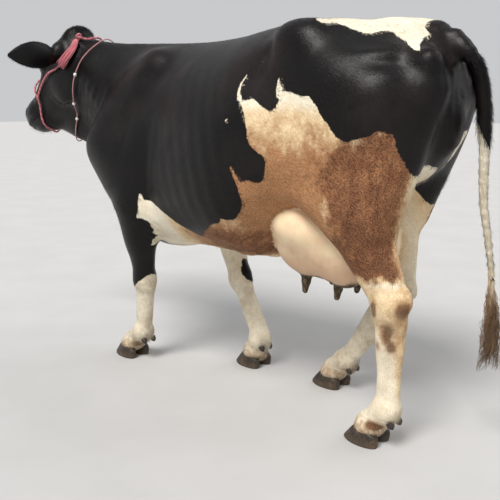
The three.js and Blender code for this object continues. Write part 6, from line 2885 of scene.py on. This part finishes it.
@dataclass(frozen=True)
class Claw:
    """The horn of one claw: a flat-soled wedge, blunt at the heel and pointed at the toe."""

    length: float = 140.0
    width: float = 57.0
    gap: float = 9.0
    toe_height: float = 68.0
    heel_height: float = 42.0
    splay: float = 5.0
    columns: int = 56
    wall: tuple = (
        (0, 0.95, 0), (0.03, 0.985, 0), (0.12, 1, 0), (0.55, 0.86, 13), (0.85, 0.73, 22), (1, 0.60, 28),
    )

    def ring(self, height: float, shrink: float, back: float, seed: int) -> Array:
        """One level ring of the wall.

        Args:
            height: Share of the wall's height.
            shrink: Its size beside the widest ring.
            back: How far it is set back, in millimetres.
            seed: Chooses the wall's unevenness.

        Returns:
            The ring's points round the claw's own centre.
        """
        a = np.linspace(0, math.tau, self.columns, endpoint=False)
        along, across = -np.cos(a), np.sin(a)
        taper = np.where(along < 0, 1 - 0.42 * along**2, 1.0)
        ripple = 1 + 0.008 * math.sin(height * 44) + 0.006 * np.sin(a * 5 + seed) * (1 - height)
        x = np.sign(across) * np.abs(across) ** 0.86 * self.width / 2 * taper * shrink * ripple
        y = along * self.length / 2 * shrink * ripple + back
        tilt = self.toe_height + (self.heel_height - self.toe_height) * (along + 1) / 2
        return np.stack([x, y, FLOOR + height * tilt], axis=1)

    def build(self, leg: Leg, outer: int, material: bpy.types.Material) -> None:
        """Builds one claw of a leg.

        Args:
            leg: The leg.
            outer: 1 for the outer claw, -1 for the inner one.
            material: The horn's finish.
        """
        rows = np.array(self.wall, float)
        shares = np.concatenate([[0, 0.015, 0.04, 0.08], np.linspace(0.12, 1, 22)])
        seed = outer + leg.side * 3
        rings = [self.ring(*station_curve(rows, np.array([s]))[0], seed=seed) for s in shares]
        sole = rings[0] * [0.55, 0.6, 1] + [0, 0, 1.4]
        top = rings[-1] * [0.6, 0.6, 1] + [0, 7, 2]
        shape = np.vstack([sole.mean(axis=0)[None], sole, *rings, top, top.mean(axis=0)[None]])
        turn = math.radians(-leg.side * outer * self.splay)
        c, s = math.cos(turn), math.sin(turn)
        x, y, z = shape.T
        shift = leg.side * outer * (self.width + self.gap) / 2
        points = np.stack([leg.hoof[0] + shift + x * c - y * s, leg.hoof[1] + x * s + y * c, z], axis=1)
        n, rows_total = self.columns, len(rings) + 2
        quads = grid_faces(rows_total, n, 1)
        last = len(points) - 1
        faces = [[0, 1 + (i + 1) % n, 1 + i] for i in range(n)]
        faces += quads[:, [0, 1, 2]].tolist() + quads[:, [0, 2, 3]].tolist()
        faces += [[last, last - n + i, last - n + (i + 1) % n] for i in range(n)]
        down = np.concatenate([[0], np.zeros(n), np.repeat(shares, n), np.ones(n), [1]])
        angle = np.concatenate([[0], np.tile(np.arange(n) / n, rows_total), [0]]) * math.tau
        row = np.concatenate([[0], np.repeat(np.arange(rows_total) / rows_total, n), [1]])
        uv = 0.5 + np.stack([np.cos(angle), np.sin(angle)], axis=1) * (0.04 + 0.45 * row)[:, None]
        toe = leg.toe(outer)
        piece = mesh_object(f"horn_{toe}", DRAWING.metres(points), np.array(faces), {"down": down}, uv)
        finish_piece(piece, material, "horn", f"claw_{toe}")


class Tube:
    """Round tubes along paths, as closed meshes from arrays."""

    @staticmethod
    def along(
        path: Array, radius: Array, across: Array, up: Array, sides: int, endless: bool
    ) -> tuple[Array, Array, Array]:
        """Builds a tube.

        Args:
            path: Centres, N by 3.
            radius: A radius for each centre.
            across: Unit vectors square to the path.
            up: Unit vectors square to both.
            sides: How many sides it has.
            endless: Whether it runs round on itself.

        Returns:
            Points, triangles, and a chart place per point.
        """
        a = np.linspace(0, math.tau, sides, endpoint=False)
        ring = np.cos(a)[None, :, None] * across[:, None] + np.sin(a)[None, :, None] * up[:, None]
        points = (path[:, None] + ring * radius[:, None, None]).reshape(-1, 3)
        n = len(path)
        quads = grid_faces(n, sides)
        if endless:
            last = (n - 1) * sides
            i = np.arange(sides)
            j = (i + 1) % sides
            quads = np.vstack([quads, np.stack([last + i, last + j, j, i], axis=1)])
        faces = [quads[:, [0, 1, 2]], quads[:, [0, 2, 3]]]
        if not endless:
            i = np.arange(1, sides - 1)
            faces.append(np.stack([0 * i, i + 1, i], axis=1))
            last = (n - 1) * sides
            faces.append(np.stack([last + 0 * i, last + i, last + i + 1], axis=1))
        faces = np.vstack(faces)
        p = points[faces]
        if np.einsum("ij,ij->i", p[:, 0], np.cross(p[:, 1], p[:, 2])).sum() < 0:
            faces = faces[:, ::-1]
        run = np.repeat(np.arange(n) / n, sides)
        turn = np.tile(np.arange(sides) / sides, n)
        return points, faces, np.stack([run, turn], axis=1)

    @staticmethod
    def ahead(path: Array, endless: bool) -> Array:
        """Directions along a path.

        Args:
            path: Centres, N by 3.
            endless: Whether it runs round on itself.

        Returns:
            A unit vector for each centre.
        """
        if endless:
            return unit(np.roll(path, -1, axis=0) - np.roll(path, 1, axis=0))
        return unit(np.gradient(path, axis=0))

    @staticmethod
    def frames(path: Array, endless: bool) -> tuple[Array, Array]:
        """Steady across and up vectors along a path.

        Args:
            path: Centres, N by 3.
            endless: Whether it runs round on itself.

        Returns:
            Both vectors for each centre.
        """
        ahead = Tube.ahead(path, endless)
        across = np.zeros_like(path)
        start = np.cross(ahead[0], [0.0, 0.0, 1.0])
        if np.linalg.norm(start) < 0.1:
            start = np.cross(ahead[0], [1.0, 0.0, 0.0])
        across[0] = unit(start)
        for i in range(1, len(path)):
            across[i] = unit(across[i - 1] - ahead[i] * (across[i - 1] @ ahead[i]))
        return across, np.cross(ahead, across)


@dataclass(frozen=True)
class Strands:
    """A laid rope: how many strands, two or more, their pitch, and the whole radius, in millimetres."""

    count: int
    pitch: float
    radius: float
    sides: int = 7

    def build(self, name: str, path: Array, out: Array, endless: bool) -> bpy.types.Object:
        """Twists strands along a path.

        Args:
            name: Name of the piece.
            path: The rope's centres in the drawing frame.
            out: Directions away from what it lies on.
            endless: Whether it runs round on itself.

        Returns:
            The piece.
        """
        step = np.linalg.norm(np.diff(path, axis=0, append=path[:1]), axis=1)
        run = np.concatenate([[0], np.cumsum(step)[:-1]])
        whole = run[-1] + (step[-1] if endless else 0)
        turns = max(1, round(whole / self.pitch))
        ahead = Tube.ahead(path, endless)
        across = unit(np.cross(ahead, out))
        up = np.cross(across, ahead)
        core = self.radius * 0.5
        size = np.full(len(path), self.radius * 0.54)
        pile = Pile()
        for k in range(self.count):
            a = (run / whole * turns + k / self.count) * math.tau
            centre = path + across * (np.cos(a) * core)[:, None] + up * (np.sin(a) * core)[:, None]
            points, faces, uv = Tube.along(centre, size, across, up, self.sides, endless)
            uv = uv * [0.97, 0.9 / self.count] + [0.01, k / self.count]
            pile.add(DRAWING.metres(points), faces, uv, {"strand": np.full(len(points), float(k == 0))})
        return pile.build(name)


@dataclass(frozen=True)
class Tack:
    """Rope headstall with nose loop, knot and tassel, and the beaded cord round the neck."""

    rope: Strands = Strands(3, 25.0, 5.0)
    rope_lift: float = 1.6
    cord: Strands = Strands(2, 11.0, 3.3, 6)
    cord_lift: float = 5.0
    bead_radius: float = 8.0
    bead_at: tuple = (0.141, 0.266, 0.344, 0.703, 0.828)
    bead_steps: int = 64
    cheek: tuple = (
        (356, 121, 80), (301, 111, 88), (241, 108, 96), (171, 121, 106), (116, 144, 105), (64, 147, 100),
        (9, 135, 86),
    )
    nape: tuple = (
        (100, -1046, 1456), (78, -1016, 1452), (44, -996, 1462), (8, -1012, 1452), (-20, -1036, 1432),
    )
    nose: tuple = (
        (322, 10, 0), (326, 26, 46), (336, 80, 76), (352, 121, 80), (374, 141, 68), (409, 170, 56),
        (445, 212, 33),
    )
    chin: tuple = (455, 226, 0)
    knot: tuple = (104, -1050, 1458)
    tassel: tuple = ((118, -1046, 1440), (140, -1054, 1398), (154, -1076, 1362), (163, -1102, 1328))
    neck: tuple = (
        (83, -944, 1420), (111, -961, 1393), (135, -983, 1357), (153, -1018, 1278), (122, -1080, 1165),
        (88, -1122, 1080), (78, -1152, 1015), (48, -1168, 984), (14, -1160, 1020), (0, -1134, 1086),
        (-40, -1070, 1190), (-66, -1012, 1285), (-50, -972, 1370), (-4, -946, 1425), (40, -938, 1440),
    )

    @staticmethod
    def across_head(points: tuple, middle: list) -> list:
        """A path up the left of the head, over some middle points, and down the right."""
        right = [HEAD.spot(u, v, -w) for u, v, w in points[::-1]]
        return [HEAD.spot(*p) for p in points] + middle + right

    def laid(self, bed: Field, points: list, height: float, count: int, endless: bool) -> tuple[Array, Array]:
        """Lays a path on the flesh at a height; returns its centres and outward directions."""
        path = bed.stand_over(smooth_path(np.array(points, float), count, endless), height)
        return path, unit(bed.slope(path))

    def build(
        self, bed: Field, rope: bpy.types.Material, cord: bpy.types.Material, bead: bpy.types.Material
    ) -> None:
        """Builds all the tack on the flesh that it lies on.

        Args:
            bed: The flesh.
            rope: The headstall's finish.
            cord: The neck cord's finish.
            bead: The beads' finish.
        """
        stand = self.rope_lift + self.rope.radius
        loop = self.across_head(self.nose, [HEAD.spot(*self.chin)])[:-1]
        path, out = self.laid(bed, loop, stand, 230, True)
        finish_piece(self.rope.build("nose_rope", path, out, True), rope, "halter_rope", "nose_loop")
        cheeks = self.across_head(self.cheek, [np.array(p, float) for p in self.nape])
        path, out = self.laid(bed, cheeks, stand, 420, False)
        finish_piece(self.rope.build("headstall_rope", path, out, False), rope, "halter_rope", "headstall")
        centre = bed.stand_over(np.array([self.knot], float), 12.0)[0]
        self.tie(centre, rope)
        self.hang(bed, centre, rope)
        stand = self.cord_lift + self.cord.radius
        path, out = self.laid(bed, list(self.neck), stand, 520, True)
        finish_piece(self.cord.build("neck_cord_twist", path, out, True), cord, "neck_cord", "neck_cord")
        coarse, _ = self.laid(bed, list(self.neck), stand, self.bead_steps, True)
        for i, share in enumerate(self.bead_at):
            k = round(share * self.bead_steps)
            axis = unit(coarse[(k + 1) % self.bead_steps] - coarse[k - 1])
            self.string_bead(f"neck_bead_{i + 1}", coarse[k], axis, bead)

    def tie(self, centre: Array, material: bpy.types.Material) -> None:
        """Ties the knot: one rope turned through itself three times.

        Args:
            centre: Middle of the knot.
            material: The rope's finish.
        """
        t = np.linspace(0, math.tau, 150, endpoint=False)
        r = 0.62 + 0.34 * np.cos(3 * t)
        path = np.stack([r * np.cos(2 * t) * 13, r * np.sin(2 * t) * 12, np.sin(3 * t) * 7.5], axis=1)
        tilt = unit(np.array([[0.7, 0.2, 0.7], [-0.2, 0.95, 0.0], [-0.66, -0.14, 0.74]]))
        path = centre + path @ tilt
        across, up = Tube.frames(path, True)
        made = Tube.along(path, np.full(150, 4.6), across, up, 9, True)
        values = {"strand": np.full(len(made[0]), 0.2)}
        piece = mesh_object("knot", DRAWING.metres(made[0]), made[1], values, made[2] * 0.96 + 0.01)
        finish_piece(piece, material, "halter_rope", "halter_knot")

    def hang(self, bed: Field, centre: Array, material: bpy.types.Material) -> None:
        """Hangs the tassel from the knot: loose strands that spread towards their ends.

        Args:
            bed: The flesh.
            centre: Middle of the knot.
            material: The rope's finish.
        """
        rng = np.random.default_rng(9)
        course = smooth_path(np.array(self.tassel, float), 24)
        course = bed.stand_over(course, 17.0)
        out = unit(bed.slope(course))
        ahead = unit(np.gradient(course, axis=0))
        across = unit(np.cross(ahead, out))
        pile = Pile()
        t = np.linspace(0, 1, 24)
        for k in range(44):
            offset, depth = rng.uniform(-1, 1), rng.uniform(-1, 1)
            stop = rng.uniform(0.72, 1.0)
            share = t * stop
            spine = np.stack([np.interp(share, t, course[:, c]) for c in range(3)], axis=1)
            wave = np.sin(share * rng.uniform(6, 12) + k * 1.7) * 3.4 * (0.3 + share)
            spread = (13 + 9 * share) * offset + wave
            path = spine + across * spread[:, None] + out * (depth * (3.5 + 2.5 * share))[:, None]
            path[0] = path[0] * 0.7 + centre * 0.3
            points, faces, uv = Tube.along(path, 2.1 * (1 - 0.25 * t), *Tube.frames(path, False), 5, False)
            strand = {"strand": np.full(len(points), rng.uniform(0, 1) ** 2)}
            pile.add(DRAWING.metres(points), faces, uv * [0.95, 0.018] + [0.02, k / 45], strand)
        finish_piece(pile.build("tassel_strands"), material, "halter_rope", "halter_tassel")

    def string_bead(self, node: str, centre: Array, axis: Array, material: bpy.types.Material) -> None:
        """Strings one pierced bead on the cord.

        Args:
            node: Name of the solid that it replaces.
            centre: Its middle.
            axis: Direction of the cord.
            material: Its finish.
        """
        side = unit(np.cross(axis, [0.2, 0.3, 0.93]))
        angle = np.linspace(0.36, math.pi - 0.36, 22)
        rows = [(math.cos(a) * self.bead_radius, math.sin(a) ** 0.92 * self.bead_radius) for a in angle]
        rows = [(rows[0][0] - 1.6, 2.5)] + rows + [(rows[-1][0] + 1.6, 2.5)]
        along, radius = np.array(rows).T
        square = [np.tile(v, (len(rows), 1)) for v in (side, np.cross(axis, side))]
        made = Tube.along(centre + axis * along[:, None], radius, *square, 32, False)
        piece = mesh_object(f"{node}_glazed", DRAWING.metres(made[0]), made[1], {}, made[2] * 0.96 + 0.02)
        finish_piece(piece, material, "bead", node)


class DewClaws:
    """The small horns behind each fetlock."""

    length = 20.0
    radius = 13.0
    apart = 25.0
    behind = 45.0
    height = 99.0

    def build(self, leg: Leg, outer: int, material: bpy.types.Material) -> None:
        """Builds one dewclaw of a leg.

        Args:
            leg: The leg.
            outer: 1 for the outer dewclaw, -1 for the inner one.
            material: The horn's finish.
        """
        x = leg.fetlock[0] + leg.side * outer * self.apart
        start = np.array([x, leg.fetlock[1] + self.behind - self.length * 0.7, self.height + FLOOR + 6])
        end = np.array([x, leg.fetlock[1] + self.behind, self.height + FLOOR - self.length * 0.7])
        t = np.concatenate([np.linspace(0, 0.86, 14), [0.93, 0.975, 1.0]])
        radius = self.radius * (1 - 0.22 * t * t) * np.sqrt(np.clip((1.012 - t) / 0.42, 0.02, 1))
        radius *= 1 + 0.012 * np.sin(t * 40)
        path = start + (end - start) * t[:, None]
        across, up = Tube.frames(path, False)
        made = Tube.along(path, radius, across, up, 20, False)
        points, faces, uv = made
        down = {"down": np.repeat(1 - t, 20)}
        toe = leg.toe(outer)
        piece = mesh_object(f"spur_{toe}", DRAWING.metres(points), faces, down, uv * 0.96 + 0.02)
        finish_piece(piece, material, "horn", f"dewclaw_{toe}")


# ---------------------------------------------------------------- studio
@dataclass(frozen=True)
class Studio:
    """Plain pale floor, soft light, and the camera."""

    eye: tuple = (2.1962, 1.9036, 1.1956)
    yaw: float = -47.87
    pitch: float = 11.73
    lens: float = 53.28
    floor_size: float = 60.0
    room: float = 0.60

    def camera(self) -> None:
        """Places the camera behind the animal's left flank."""
        data = bpy.data.cameras.new("camera")
        data.lens, data.sensor_width = self.lens, 36.0
        data.clip_end = 100.0
        piece = linked("camera", data)
        piece.location = Vector(self.eye) + Vector(DRAWING.shift.tolist())
        yaw, pitch = math.radians(self.yaw), math.radians(self.pitch)
        ahead = Vector((math.sin(yaw) * math.cos(pitch), -math.cos(yaw) * math.cos(pitch), -math.sin(pitch)))
        piece.rotation_euler = ahead.to_track_quat("-Z", "Y").to_euler()
        bpy.context.scene.camera = piece

    def floor(self) -> None:
        """Lays the pale floor."""
        half = self.floor_size / 2
        corners = np.array([[-half, -half, 0], [half, -half, 0], [half, half, 0], [-half, half, 0]])
        piece = mesh_object("floor", corners, np.array([[0, 1, 2, 3]]))
        material, g, shader = Palette.start("floor")
        tone = g.mix(g.span(g.noise(g.place(), 3.0), 0.3, 0.7), (0.500, 0.497, 0.490), (0.525, 0.522, 0.515))
        g.fill(shader, {"Base Color": tone, "Roughness": 0.9})
        piece.data.materials.append(material)
        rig.stage(piece)

    @staticmethod
    def lamp(name: str, place: tuple, soft: float, power: float, colour: tuple) -> None:
        """Hangs one far, broad light that shines from a place towards the middle.

        Args:
            name: Name of the light.
            place: Where it hangs.
            soft: How wide it looks, in degrees.
            power: Its strength.
            colour: Its colour.
        """
        data = bpy.data.lights.new(name, "SUN")
        data.angle, data.energy, data.color = math.radians(soft), power, colour
        piece = linked(name, data)
        piece.location = place
        piece.rotation_euler = (-Vector(place)).to_track_quat("-Z", "Y").to_euler()

    def light(self) -> None:
        """Hangs the soft lights in a pale room."""
        world = bpy.data.worlds.new("studio")
        world.use_nodes = True
        backdrop = world.node_tree.nodes["Background"]
        Graph(world.node_tree).fill(backdrop, {"Color": (0.97, 0.98, 1.0, 1.0), "Strength": self.room})
        bpy.context.scene.world = world
        self.lamp("key", (4.4, 0.9, 5.8), 24.0, 3.0, (1.0, 0.975, 0.94))
        self.lamp("back light", (-3.5, 3.0, 4.0), 40.0, 0.55, (0.97, 0.98, 1.0))
        bpy.context.scene.view_settings.view_transform = "Standard"

    def build(self) -> None:
        """Builds the whole studio."""
        self.camera()
        self.floor()
        self.light()


# ---------------------------------------------------------------- assembly
FLESH_NODES = (
    "trunk", "neck", "head", "fore_leg_left", "fore_leg_right", "hind_leg_left", "hind_leg_right", "udder",
    "teat_fore_left", "teat_fore_right", "teat_hind_left", "teat_hind_right", "ear_left", "ear_right",
    "tail_upper", "tail_middle", "tail_lower",
)


def keep_sizes(cad: tuple) -> None:
    """Writes the solids' box and the visual model's box.

    Args:
        cad: The two corners of the solids' box.
    """
    boxes = {"cad": [list(corner) for corner in cad], "visual": [list(corner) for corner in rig.bounds()]}
    with open("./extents.json", "w", encoding="utf-8") as out:
        json.dump(boxes, out)


def main() -> None:
    """Builds the cow and its studio, in order."""
    logging.basicConfig(level=logging.INFO, format="%(message)s")
    Studio().build()
    palette = Palette()
    skin = Skin()
    hide = Hide(skin).build()
    finish_piece(hide, CoatFinish("short coat", True).build(palette), "coat", *FLESH_NODES)
    hair = CoatFinish("hair tufts", False).build(palette)
    Coat(TuftBed(hide), hair).build()
    Switch().build(SwitchFinish().build(palette))
    Eyeballs().build(EyeFinish().build(palette))
    Lashes().build(LashFinish().build(palette))
    horn = HornFinish().build(palette)
    for leg in LEGS:
        for outer in (1, -1):
            Claw().build(leg, outer, horn)
            DewClaws().build(leg, outer, horn)
    rope = RopeFinish("pink rope", (0.74, 0.125, 0.180), (0.90, 0.34, 0.38), (0.34, 0.026, 0.048))
    cord = RopeFinish("pale pink cord", (0.70, 0.32, 0.34), (0.82, 0.52, 0.50), (0.50, 0.12, 0.15))
    finishes = [finish.build(palette) for finish in (rope, cord, BeadFinish())]
    Tack().build(skin.tack_bed, *finishes)
    keep_sizes(CAD_BOX)


if __name__ == "__main__":
    main()
